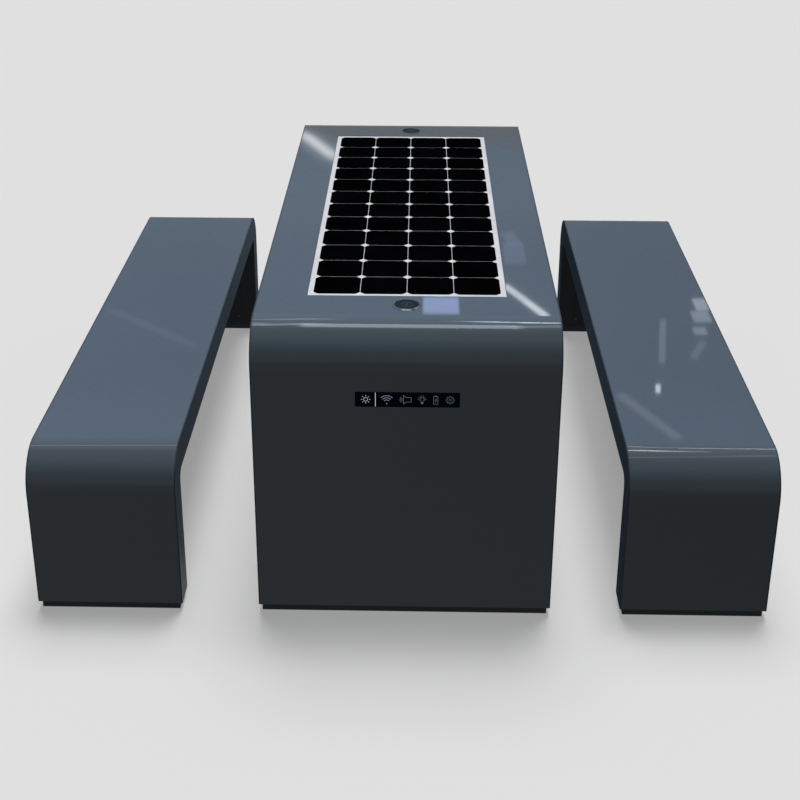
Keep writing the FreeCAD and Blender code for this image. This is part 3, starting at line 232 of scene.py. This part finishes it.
def board_material():
    """A circuit board: green varnish over a fine pattern of tracks."""
    surface = Surface("circuit_board", BOARD_VARNISH, 0.35)
    inputs = {
        "Vector": surface.place, "Scale": 90.0, "Mortar Size": 0.06,
        "Color1": (*BOARD_VARNISH, 1.0), "Color2": (0.025, 0.13, 0.06, 1.0),
        "Mortar": (0.06, 0.22, 0.10, 1.0),
    }
    surface.put(surface.add("TexBrick", inputs).outputs["Color"], surface.shader.inputs["Base Color"])
    return surface.material


def winding_material():
    """Copper wire laid in rings."""
    surface = Surface("copper_winding", (0.60, 0.26, 0.11), 0.35, metallic=1.0)
    surface.vary_colour(surface.noise(200.0), 0.1)
    surface.bump(surface.noise(1500.0, 1.0), 0.0001)
    return surface.material


SLATE_PAINT = paint("slate_paint", SLATE, coat=1.0, coat_roughness=0.03, edge=0.0008)
# The cheeks wear the slate paint darkened, with less gloss: painted shade on the sides
SHADED_CHEEK_PAINT = paint("side_paint_painted_shade", SHADED_SIDE, coat=0.2, coat_roughness=0.08, edge=0.0008)
# The inner sheets, doors and covers wear the slate paint at 0.4 of its colour: painted shade for faces
# inside the legs and under the tops
SHADED_INNER_PAINT = paint("inner_paint", scaled(SLATE, 0.4), coat=0.15, coat_roughness=0.2, edge=0.0006)
PLINTH_PAINT = plastic("plinth_black", PLINTH, 0.6, specular=0.2)
ZINC = zinc("galvanised_steel")
STEEL = metal("stainless_steel", (0.50, 0.50, 0.50), 0.3, grain=(1.0, 1.0, 12.0))
DARK_STEEL = metal("blackened_steel", (0.05, 0.05, 0.055), 0.4)
CHROME = metal("plated_lock", (0.62, 0.62, 0.62), 0.15)
RUBBER = plastic("rubber", (0.012, 0.012, 0.013), 0.75, specular=0.15)
BLACK_PLASTIC = plastic("black_plastic", (0.018, 0.018, 0.020), 0.5)
WHITE_BOARD = plastic("white_board", (0.74, 0.75, 0.78), 0.55, specular=0.1)
SEAL = plastic("grey_silicone", (0.10, 0.12, 0.14), 0.6, specular=0.15)
GRILLE = plastic("speaker_grille", (0.014, 0.015, 0.016), 0.5)
OPAL = plastic("opal_diffuser", (0.78, 0.78, 0.76), 0.35)
ALUMINIUM = metal("anodised_channel", (0.55, 0.55, 0.57), 0.35, grain=(1.0, 0.05, 1.0))
HOUSING = metal("cast_housing", (0.30, 0.32, 0.35), 0.5)
BATTERY = plastic("battery_case", (0.022, 0.034, 0.060), 0.5)

NODE_MATERIALS = (
    (SLATE_PAINT, ["table_outer_sheet", "left_bench_outer_sheet", "right_bench_outer_sheet",
                   "charger_rims"]),
    (SHADED_CHEEK_PAINT, ["table_left_cheek", "table_right_cheek", "left_bench_cheeks", "right_bench_cheeks"]),
    (SHADED_INNER_PAINT, ["table_inner_sheet", "left_bench_inner_sheet", "right_bench_inner_sheet",
                   "front_service_door", "rear_service_door", "underside_cover", "anchor_covers"]),
    (PLINTH_PAINT, ["table_plinths", "left_bench_plinths", "right_bench_plinths"]),
    (ZINC, ["table_base_plates", "left_bench_base_plates", "right_bench_base_plates", "table_rails",
            "table_posts", "table_cross_tubes", "table_support_bars", "left_bench_frame",
            "right_bench_frame", "solar_ledge", "equipment_plate", "battery_tray"]),
    (STEEL, ["front_door_leaves", "rear_door_leaves", "leg_hinge_leaves", "hinge_pins", "front_lock_cam",
             "rear_lock_cam"]),
    (DARK_STEEL, ["cover_screws"]),
    (CHROME, ["front_lock_body", "rear_lock_body"]),
    (SEAL, ["solar_seal"]),
    (RUBBER, ["door_seals", "internal_cables"]),
    (BLACK_PLASTIC, ["solar_junction_box", "charger_cups", "display_case", "loudspeakers", "wifi_router"]),
    (WHITE_BOARD, ["solar_backsheet"]),
    (GRILLE, ["speaker_grilles"]),
    (OPAL, ["lamp_diffusers"]),
    (ALUMINIUM, ["lamp_channels"]),
    (HOUSING, ["charge_controller"]),
    (BATTERY, ["battery_packs"]),
    (glass_material(), ["solar_glass"]),
    (cell_material(), ["solar_cells"]),
    (lens_material(), ["display_lens"]),
    (charger_material(), ["charger_covers"]),
    (board_material(), ["display_board"]),
    (winding_material(), ["charger_coils"]),
)

for material, names in NODE_MATERIALS:
    for name in names:
        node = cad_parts[name]
        if not node.material_slots:
            node.data.materials.append(material)
        for material_slot in node.material_slots:
            material_slot.material = material


# Flat shapes in raised relief, drawn in millimetres. A stroke's corners stick out by half its width over
# this share at most
MITRE_LIMIT = 0.4
UP = (0, 0, 1)
ALONG = (0, 1, 0)
TO_FRONT = (0, -1, 0)
TO_REAR = (0, 1, 0)


def new_piece(name, mesh, material):
    piece = bpy.data.objects.new(name, mesh)
    bpy.context.scene.collection.objects.link(piece)
    mesh.materials.append(material)
    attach(piece, "furniture")


def arc(cx, cy, radius, start, stop, steps=14):
    turns = [math.radians(start + (stop - start) * i / steps) for i in range(steps + 1)]
    return [(cx + radius * math.cos(turn), cy + radius * math.sin(turn)) for turn in turns]


def circle(cx, cy, radius, steps=24):
    return arc(cx, cy, radius, 0, 360, steps)[:-1]


def bar(left, right, low, high):
    return [(left, low), (right, low), (right, high), (left, high)]


def ribbon(points, width, closed=False):
    """The outline of a stroke along points: a list of quads, each four (x, y) corners."""
    count = len(points)
    sides = []
    for i, (x, y) in enumerate(points):
        before = points[i - 1] if closed or i else None
        after = points[(i + 1) % count] if closed or i < count - 1 else None
        into = Vector((x - before[0], y - before[1])).normalized() if before else None
        out = Vector((after[0] - x, after[1] - y)).normalized() if after else None
        along = (into + out).normalized() if into and out else (into or out)
        square = Vector((-along.y, along.x))
        share = max(square.dot(Vector((-out.y, out.x))), MITRE_LIMIT) if into and out else 1.0
        shift = square * (width / 2 / share)
        sides.append(((x + shift.x, y + shift.y), (x - shift.x, y - shift.y)))
    following = sides[1:] + sides[:1] if closed else sides[1:]
    pairs = zip(sides, following)
    return [(left, right, next_right, next_left) for (left, right), (next_left, next_right) in pairs]


def on_face(middle, up, out):
    """Gives a function that places millimetres on a face: to the right, up, and out of the face."""
    middle, up, out = Vector(middle), Vector(up), Vector(out)
    right = up.cross(out)
    return lambda x, y, height: middle + (right * x + up * y + out * height) * MM


def raise_shapes(shapes, thickness, place):
    """Extrudes flat polygons by a thickness in millimetres, on the face that place stands for."""
    mesh = bmesh.new()
    for corners in shapes:
        low = [mesh.verts.new(place(x, y, 0.0)) for x, y in corners]
        high = [mesh.verts.new(place(x, y, thickness)) for x, y in corners]
        mesh.faces.new(high)
        mesh.faces.new(low[::-1])
        for i in range(len(corners)):
            j = (i + 1) % len(corners)
            mesh.faces.new((low[i], low[j], high[j], high[i]))
    bmesh.ops.recalc_face_normals(mesh, faces=mesh.faces)
    data = bpy.data.meshes.new("symbol")
    mesh.to_mesh(data)
    mesh.free()
    return data


def moved(shapes, dx, dy):
    return [[(x + dx, y + dy) for x, y in corners] for corners in shapes]


def bolt(size, width):
    corners = [(0.12, 0.50), (-0.26, -0.06), (-0.04, -0.06), (-0.12, -0.50), (0.26, 0.08), (0.04, 0.08)]
    return ribbon([(x * size, y * size) for x, y in corners], width, closed=True)


def rays(count, inner, outer, width, turn=360.0):
    """Short strokes that point away from the middle, spread over a turn."""
    shapes = []
    steps = count if turn == 360.0 else count - 1
    for i in range(count):
        angle = math.radians(turn * i / steps)
        across, up = math.cos(angle), math.sin(angle)
        shapes += ribbon([(inner * across, inner * up), (outer * across, outer * up)], width)
    return shapes


def wireless_symbol():
    shapes = [circle(0, -10.3, 1.6)]
    for radius in (8, 13.3, 18.8):
        shapes += ribbon(arc(0, -9, radius, 45, 135), 1.7)
    return shapes


def sound_symbol():
    """A horn with two waves at its left."""
    stroke = 1.0
    horn = [(-5, 11), (2, 5.6), (12.5, 5.6), (12.5, -5.6), (2, -5.6), (-5, -11)]
    shapes = ribbon(horn, stroke, closed=True)
    for radius in (5, 9):
        shapes += ribbon(arc(-4, 0, radius, 130, 230, 8), stroke)
    return shapes


def lamp_symbol():
    """A round bulb on a solid cap, with rays over its upper half."""
    stroke = 1.0
    middle = 1
    bulb = ribbon(arc(0, middle, 5.0, -60, 240, 20), stroke)
    cap = bar(-2.4, 2.4, -10.2, -4.6)
    return [*bulb, cap, *moved(rays(6, 7.0, 10.4, stroke, 180.0), 0, middle)]


def battery_symbol():
    """A case with a terminal on top and a bolt inside."""
    case = ribbon([(-5, -10.6), (5, -10.6), (5, 8.8), (-5, 8.8)], 1.0, closed=True)
    terminal = ribbon([(-2.5, 10.2), (2.5, 10.2)], 1.8)
    return case + terminal + moved(bolt(11, 0.8), 0, -1.0)


def gear_symbol():
    """Eight teeth round a ring; each tooth is four corners at an angle and a radius."""
    teeth = 8
    stroke = 0.9
    outline = []
    for tooth in range(teeth):
        middle = 360 / teeth * tooth
        for angle, radius in ((-13, 6.9), (-9, 9.5), (9, 9.5), (13, 6.9)):
            turn = math.radians(middle + angle)
            outline.append((radius * math.cos(turn), radius * math.sin(turn)))
    return ribbon(outline, stroke, closed=True) + ribbon(circle(0, 0, 2.8), stroke, closed=True)


def sun_symbol():
    stroke = 1.4
    return ribbon(circle(0, 0, 4.6), stroke, closed=True) + rays(8, 7.2, 11, stroke)


def pad_symbol():
    """Two arcs round a bolt."""
    arcs = ribbon(arc(0, 0, 13, 20, 160, 18), 1.2) + ribbon(arc(0, 0, 13, 200, 340, 18), 1.2)
    return arcs + bolt(15, 0.9)


# Symbols on the display strip: name, shapes, place to the right of the strip's middle, and light
SYMBOLS = (
    ("display_wireless_symbol", wireless_symbol(), -43, (0.106, 0.155, 0.187)),
    ("display_sound_symbol", sound_symbol(), 0.5, (0.075, 0.11, 0.14)),
    ("display_lamp_symbol", lamp_symbol(), 38, (0.064, 0.111, 0.139)),
    ("display_battery_symbol", battery_symbol(), 69, (0.069, 0.081, 0.095)),
    ("display_gear_symbol", gear_symbol(), 102, (0.043, 0.076, 0.105)),
    ("display_sun_symbol", sun_symbol(), -91, (0.20, 0.32, 0.33)),
)
SYMBOL_HEIGHT = 0.15
SYMBOL_GLOW = 0.9
DIVIDER = bar(-69.45, -68.15, -17.6, 17.6)
DIVIDER_LIGHT = (0.60, 0.60, 0.66)
DIVIDER_GLOW = 0.75

on_display = on_face((TABLE_X, LENS_LOW.y, LENS_Z), UP, TO_FRONT)
for name, shapes, centre_x, light in SYMBOLS:
    mesh = raise_shapes(moved(shapes, centre_x, 0), SYMBOL_HEIGHT, on_display)
    new_piece(name, mesh, light_face(name + "_light", light, SYMBOL_GLOW))
new_piece("display_divider", raise_shapes([DIVIDER], SYMBOL_HEIGHT, on_display),
          light_face("divider_light", DIVIDER_LIGHT, DIVIDER_GLOW))

PAD_PRINT = plastic("charger_print", (0.055, 0.075, 0.088), 0.45, specular=0.2)
PAD_PRINT_HEIGHT = 0.1

for label, pad_y in (("front", PAD_LOW.y + PAD_RADIUS), ("rear", PAD_HIGH.y - PAD_RADIUS)):
    on_pad = on_face((TABLE_X, pad_y, PAD_HIGH.z), ALONG, UP)
    mesh = raise_shapes(pad_symbol(), PAD_PRINT_HEIGHT, on_pad)
    new_piece("charger_symbol_" + label, mesh, PAD_PRINT)

# Moulded ribs on the batteries and the router, and its status lights, all seen through an open door.
# Their shapes are drawn from the middle of the foot of each face.
PACK_RIBS = [bar(-86, 86, 168, 174)] + [bar(x - 1.5, x + 1.5, 34, 160) for x in (-72, -36, 0, 36, 72)]
PACK_RIB_HEIGHT = 1.0
ROUTER_RIBS = [bar(-44, 44, low, low + 3) for low in range(44, 99, 9)]
ROUTER_RIB_HEIGHT = 0.8
STATUS_LIGHTS = [circle(x, 18, 1.8) for x in (0, 12, 24, 36)]
STATUS_LIGHT_HEIGHT = 0.5
STATUS_GREEN = (0.10, 0.55, 0.20)
STATUS_GLOW = 0.8

for label, centre_x in (("left", PACKS_LOW.x + PACK_HALF_WIDTH), ("right", PACKS_HIGH.x - PACK_HALF_WIDTH)):
    on_pack = on_face((centre_x, PACKS_LOW.y, PACKS_LOW.z), UP, TO_FRONT)
    mesh = raise_shapes(PACK_RIBS, PACK_RIB_HEIGHT, on_pack)
    new_piece("battery_ribs_" + label, mesh, BATTERY)

on_router = on_face((ROUTER_X, ROUTER_HIGH.y, ROUTER_LOW.z), UP, TO_REAR)
new_piece("router_ribs", raise_shapes(ROUTER_RIBS, ROUTER_RIB_HEIGHT, on_router),
          BLACK_PLASTIC)
new_piece("router_lights", raise_shapes(STATUS_LIGHTS, STATUS_LIGHT_HEIGHT, on_router),
          light_face("status_light", STATUS_GREEN, STATUS_GLOW))


# Stage. Grey levels of the background, of the floor's own colour and of its glow
BACKDROP = 0.75
FLOOR_COLOUR = 0.45
FLOOR_GLOW = 0.295
FLOOR_HALF_SIZE = 60.0


def grey(level):
    return (level, level, level, 1.0)


def make_floor():
    """A pale floor for the camera and through glass, with the shadows. Gloss doesn't see it: it sees the
    world's ground colours instead."""
    mesh = bmesh.new()
    bmesh.ops.create_grid(mesh, x_segments=1, y_segments=1, size=FLOOR_HALF_SIZE)
    data = bpy.data.meshes.new("studio_floor")
    mesh.to_mesh(data)
    mesh.free()
    floor = bpy.data.objects.new("studio_floor", data)
    bpy.context.scene.collection.objects.link(floor)
    floor.visible_glossy = False
    floor.visible_diffuse = False
    material = bpy.data.materials.new("studio_floor")
    material.use_nodes = True
    tree = Nodes(material.node_tree)
    tree.nodes.clear()
    diffuse = tree.add("BsdfDiffuse", {"Color": grey(FLOOR_COLOUR)})
    glow = tree.add("Emission", {"Color": grey(FLOOR_GLOW)})
    both = tree.add("AddShader", {0: diffuse.outputs["BSDF"], 1: glow.outputs["Emission"]})
    tree.add("OutputMaterial", {"Surface": both.outputs["Shader"]})
    data.materials.append(material)


# What gloss sees of the studio: colours by height, from straight down at -1 to straight up at 1. The sky
# is behind the object (back) or behind the camera (front); the ground at the back has a left and a right.
BACK_SKY = (
    (0.0, (0.30, 0.30, 0.31)), (0.27, (0.25, 0.22, 0.20)), (0.28, (0.20, 0.29, 0.38)),
    (0.31, (0.27, 0.36, 0.47)), (0.345, (0.26, 0.35, 0.48)), (0.385, (0.30, 0.42, 0.60)),
    (0.42, (0.335, 0.48, 0.67)), (0.455, (0.42, 0.62, 0.90)), (0.55, (0.48, 0.68, 0.95)),
    (0.73, (0.66, 0.90, 1.12)), (0.92, (0.78, 1.00, 1.18)), (1.0, (0.50, 0.62, 0.74)),
)
LEFT_GROUND = (
    (-1.0, (0.03, 0.03, 0.03)), (-0.5, (0.03, 0.03, 0.04)), (-0.44, (0.055, 0.09, 0.13)),
    (-0.40, (0.06, 0.085, 0.115)), (-0.34, (0.02, 0.03, 0.05)), (-0.01, (0.02, 0.03, 0.05)),
)
RIGHT_GROUND = (
    (-1.0, (0.62, 0.62, 0.62)), (-0.55, (0.62, 0.62, 0.62)), (-0.525, (0.08, 0.08, 0.08)),
    (-0.46, (0.082, 0.10, 0.16)), (-0.34, (0.157, 0.21, 0.24)), (-0.01, (0.157, 0.21, 0.24)),
)
FRONT_SKY = (
    (-1.0, (0.36, 0.39, 0.41)), (-0.01, (0.36, 0.39, 0.41)), (0.0, (0.40, 0.46, 0.50)),
    (0.17, (0.42, 0.55, 0.58)), (0.34, (0.38, 0.50, 0.55)), (0.50, (0.34, 0.48, 0.55)),
    (0.75, (0.40, 0.65, 0.82)), (0.92, (0.60, 0.78, 0.92)), (1.0, (0.50, 0.62, 0.74)),
)
DIFFUSE_SKY = (
    (-1.0, (0.25, 0.25, 0.25)), (-0.01, (0.25, 0.25, 0.25)), (0.0, (0.12, 0.12, 0.12)),
    (1.0, (0.10, 0.10, 0.10)),
)
# Half widths of the seams between the front and the back and between the left and the right ground
SKY_SEAM = 0.15
GROUND_SEAM = 0.05
# The gloss sky loses this much from the middle to the far right, and gains it to the far left
SKY_TILT = 0.5
# It has this level up to the first distance from the middle, and falls to 1 at the second one
SKY_MIDDLE_LEVEL = 1.14
SKY_MIDDLE = (0.09, 0.16)


def make_world():
    """Plain behind the object, with an even soft light. Gloss sees a cool sky over a dark ground."""
    world = bpy.data.worlds.new("studio")
    bpy.context.scene.world = world
    world.use_nodes = True
    tree = Nodes(world.node_tree)
    tree.nodes.clear()
    direction = tree.add("TexCoord").outputs["Generated"]
    place = tree.add("SeparateXYZ", {"Vector": direction}).outputs
    height = tree.spread(place["Z"], -1.0, 1.0)

    def sky(stops):
        node = tree.add("ValToRGB", {"Fac": height})
        elements = node.color_ramp.elements
        while len(elements) < len(stops):
            elements.new(0.5)
        for element, (level, colour) in zip(elements, stops):
            element.position = (level + 1) / 2
            element.color = (*colour, 1.0)
        return node.outputs["Color"]

    behind = tree.spread(place["Y"], -SKY_SEAM, SKY_SEAM, kind="SMOOTHSTEP")
    right = tree.spread(place["X"], -GROUND_SEAM, GROUND_SEAM, kind="SMOOTHSTEP")
    back = tree.mix(right, sky(LEFT_GROUND + BACK_SKY), sky(RIGHT_GROUND + BACK_SKY))
    gloss = tree.mix(behind, sky(FRONT_SKY), back)
    aside = tree.math("ABSOLUTE", place["X"], 0.0)
    level = tree.spread(aside, *SKY_MIDDLE, SKY_MIDDLE_LEVEL, 1.0, kind="SMOOTHSTEP")
    level = tree.math("SUBTRACT", level, tree.math("MULTIPLY", place["X"], SKY_TILT))
    level = tree.add("CombineColor", {0: level, 1: level, 2: level}).outputs[0]
    gloss = tree.mix(1.0, gloss, level, "MULTIPLY")
    path = tree.add("LightPath").outputs
    colour = tree.mix(path["Is Glossy Ray"], sky(DIFFUSE_SKY), gloss)
    seen = tree.math("MAXIMUM", path["Is Camera Ray"], path["Is Transmission Ray"])
    background = tree.add("Background", {"Color": tree.mix(seen, colour, grey(BACKDROP))})
    tree.add("OutputWorld", {"Surface": background.outputs["Background"]})


def add_sun(name, elevation, azimuth, strength, angle):
    """A soft sun that gloss doesn't see; azimuth 0 comes from +Y, behind the object. Angles in degrees."""
    data = bpy.data.lights.new(name, "SUN")
    data.energy = strength
    data.angle = math.radians(angle)
    lamp = bpy.data.objects.new(name, data)
    bpy.context.scene.collection.objects.link(lamp)
    high, side = math.radians(elevation), math.radians(azimuth)
    source = Vector((math.sin(side) * math.cos(high), math.cos(side) * math.cos(high), math.sin(high)))
    lamp.matrix_world = source.to_track_quat("Z", "Y").to_matrix().to_4x4()
    lamp.visible_glossy = False


# Cards: glowing strips that only glossy surfaces see. They lie flat, at these two heights in metres.
BEND_CARDS = 2.5
TOP_CARDS = 3.0
# Where two cards overlap, one lies a little higher, because only one of two at the same height is seen.
CARD_LIFT = 0.01
# In a row of cards, each overlaps the next one by a joint and lies a step below it.
CARD_JOINT = 0.05
CARD_STEP = 0.002
COOL = (0.73, 0.86, 1.0)
PALE = (0.80, 0.87, 1.0)
BRIGHT = (0.90, 0.96, 1.0)
MAUVE = (0.95, 0.92, 1.0)
LAVENDER = (0.45, 0.55, 1.0)
BLUE = (0.45, 0.62, 1.0)


def fade(tree, value, soft):
    """1 in the middle of a value that runs from 0 to 1, and 0 at both its ends."""
    off_edge = tree.math("PINGPONG", value, 0.5)
    return tree.spread(off_edge, 0.0, soft, kind="SMOOTHSTEP")


def add_card(name, start, end, width, radiance, height, colour=WHITE, soft=(0.1, 0.5)):
    """A card that runs from one place in X and Y to another, in metres. soft is the share of its length
    and of its width over which it fades at each edge."""
    along = Vector(end) - Vector(start)
    middle = (Vector(start) + Vector(end)) / 2
    data = bpy.data.lights.new(name, "AREA")
    data.shape = "RECTANGLE"
    data.size, data.size_y = along.length, width
    data.energy = radiance * math.pi * along.length * width
    data.color = colour
    data.use_nodes = True
    tree = Nodes(data.node_tree)
    place = tree.add("NewGeometry").outputs["Parametric"]
    across = tree.add("SeparateXYZ", {"Vector": place}).outputs
    strength = tree.math("MULTIPLY", fade(tree, across[0], soft[0]), fade(tree, across[1], soft[1]))
    tree.put(strength, tree.nodes["Emission"].inputs["Strength"])
    lamp = bpy.data.objects.new(name, data)
    bpy.context.scene.collection.objects.link(lamp)
    turn = Matrix.Rotation(math.atan2(along.y, along.x), 4, "Z")
    lamp.matrix_world = Matrix.Translation((*middle, height)) @ turn
    for flag in ("visible_camera", "visible_diffuse", "visible_transmission", "visible_volume_scatter"):
        setattr(lamp, flag, False)


def add_path(name, points, width, radiances, height, colour=WHITE, soft=0.5):
    """Cards in a row along points; each fades out over a joint while the next one fades in. soft is the
    share of their width."""
    for i, radiance in enumerate(radiances):
        start, end = Vector(points[i]), Vector(points[i + 1])
        ahead = (end - start).normalized() * CARD_JOINT / 2
        length = (end - start).length + CARD_JOINT
        add_card(f"{name}_{i + 1}", start - ahead, end + ahead, width, radiance, height + i * CARD_STEP,
                 colour, (CARD_JOINT / length, soft))


make_floor()
make_world()
add_sun("high_sun", elevation=77.3, azimuth=18.5, strength=1.40, angle=20.0)
add_sun("rear_sun", elevation=66.0, azimuth=0.0, strength=1.60, angle=32.0)

# Bright lines and bands on the bends: name, place, width, radiance, height, colour and softness
add_path("table_band", [(-0.64, -0.23), (-0.50, -0.225), (-0.38, -0.325)],
         0.50, [2.0, 3.7], BEND_CARDS, COOL, 0.25)
add_card("table_band_middle", (-0.405, -0.335), (0.43, -0.325),
         0.56, 6.0, BEND_CARDS + CARD_LIFT, COOL, (0.06, 0.25))
add_path("table_band_end", [(0.38, -0.325), (0.46, -0.29), (0.62, -0.15)],
         0.36, [3.0, 3.0], BEND_CARDS, COOL)
add_path("table_left_line", [(-0.60, 0.36), (-0.535, 0.44), (-0.457, 0.56), (-0.31, 0.77)],
         0.30, [1.2, 2.2, 2.9], BEND_CARDS, COOL)
add_path("table_right_line", [(0.238, 0.52), (0.274, 0.43), (0.421, 0.315), (0.573, 0.296)],
         0.30, [5.0, 10.0, 14.0], BEND_CARDS, COOL)
add_path("right_line", [(1.02, 1.60), (1.08, 1.32), (1.20, 1.27), (1.46, 1.22), (1.65, 1.27)],
         0.14, [3.0, 5.0, 10.0, 13.0], BEND_CARDS)
add_path("right_second_line", [(0.916, 0.578), (0.984, 0.408), (1.12, 0.42), (1.22, 0.424)],
         0.30, [9.0, 6.0, 3.0], BEND_CARDS)
add_path("right_faint_band", [(0.82, -0.60), (0.95, -0.52), (1.10, -0.44), (1.29, -0.26), (1.46, -0.11)],
         0.24, [1.4, 0.9, 0.9, 1.5], BEND_CARDS)
add_path("left_line", [(-1.54, 0.09), (-1.24, 0.272), (-0.94, 0.462)],
         0.20, [2.3, 2.1], BEND_CARDS)

# Windows, spots and streaks on the tops, in the same order
add_card("right_window_far", (2.1475, 6.32), (2.2625, 6.32), 0.26, 1.68, TOP_CARDS, PALE, (0.1, 0.1))
add_card("right_window_middle", (2.09, 6.08), (2.24, 6.08), 0.235, 1.15, TOP_CARDS, PALE, (0.1, 0.1))
add_card("right_window_near", (2.055, 5.81), (2.165, 5.81), 0.15, 1.06, TOP_CARDS, PALE, (0.1, 0.1))
add_card("right_window_tail", (2.12, 5.66), (1.96, 5.29), 0.08, 0.45, TOP_CARDS, PALE, (0.2, 0.3))
add_card("right_bar", (1.879, 6.066), (1.7385, 5.195), 0.058, 0.60, TOP_CARDS, PALE, (0.1, 0.2))
add_card("right_spot", (1.669, 4.915), (1.645, 4.755), 0.05, 5.2, TOP_CARDS, PALE, (0.2, 0.35))
add_card("right_diagonal", (1.372, 4.776), (1.70, 4.077), 0.11, 0.52, TOP_CARDS, MAUVE, (0.1, 0.3))
add_card("left_diagonal", (-2.333, 6.148), (-1.507, 5.422), 0.10, 0.16, TOP_CARDS, PALE, (0.1, 0.2))
add_card("table_patch", (0.638, 5.635), (0.798, 5.635), 0.43, 0.40, TOP_CARDS, BLUE, (0.05, 0.04))
add_card("table_patch_far", (0.681, 6.122), (0.744, 5.840),
         0.11, 0.40, TOP_CARDS + CARD_LIFT, BLUE, (0.06, 0.08))
add_card("table_window", (0.065, 4.67), (0.315, 4.67), 0.295, 2.70, TOP_CARDS, LAVENDER, (0.08, 0.04))
add_path("right_streak", [(0.613, 5.034), (0.74, 4.76), (0.856, 4.505)],
         0.085, [3.6, 4.2], TOP_CARDS, BRIGHT, 0.3)
add_card("left_streak", (-1.108, 8.897), (-0.572, 7.713), 0.22, 1.80, TOP_CARDS, soft=(0.3, 0.5))
add_card("left_streak_glow", (-1.119, 8.948), (-0.541, 7.672),
         0.48, 0.45, TOP_CARDS + CARD_LIFT, soft=(0.3, 0.5))


# Camera, fitted to the photograph: lengths in pixels, angles in radians, place in metres, sensor in mm
PHOTO_WIDTH = 800.0
FOCAL_PIXELS = 1427.65
PRINCIPAL_POINT = (384.23, 335.604)
PITCH = 0.41549
YAW = -0.02433
CAMERA_PLACE = (0.03154, -3.82077, 2.03038)
SENSOR = 36.0
CLIP_END = 200.0


def make_camera():
    data = bpy.data.cameras.new("photo_camera")
    data.sensor_fit = "HORIZONTAL"
    data.sensor_width = SENSOR
    data.lens = FOCAL_PIXELS / PHOTO_WIDTH * SENSOR
    data.shift_x = 0.5 - PRINCIPAL_POINT[0] / PHOTO_WIDTH
    data.shift_y = PRINCIPAL_POINT[1] / PHOTO_WIDTH - 0.5
    data.clip_end = CLIP_END
    camera = bpy.data.objects.new("photo_camera", data)
    bpy.context.scene.collection.objects.link(camera)
    forward = Vector((math.sin(YAW) * math.cos(PITCH), math.cos(YAW) * math.cos(PITCH), -math.sin(PITCH)))
    right = Vector((math.cos(YAW), -math.sin(YAW), 0.0))
    up = right.cross(forward)
    turn = Matrix((right, up, -forward)).transposed().to_4x4()
    camera.matrix_world = Matrix.Translation(CAMERA_PLACE) @ turn
    bpy.context.scene.camera = camera


make_camera()
bpy.context.scene.view_settings.view_transform = "Standard"
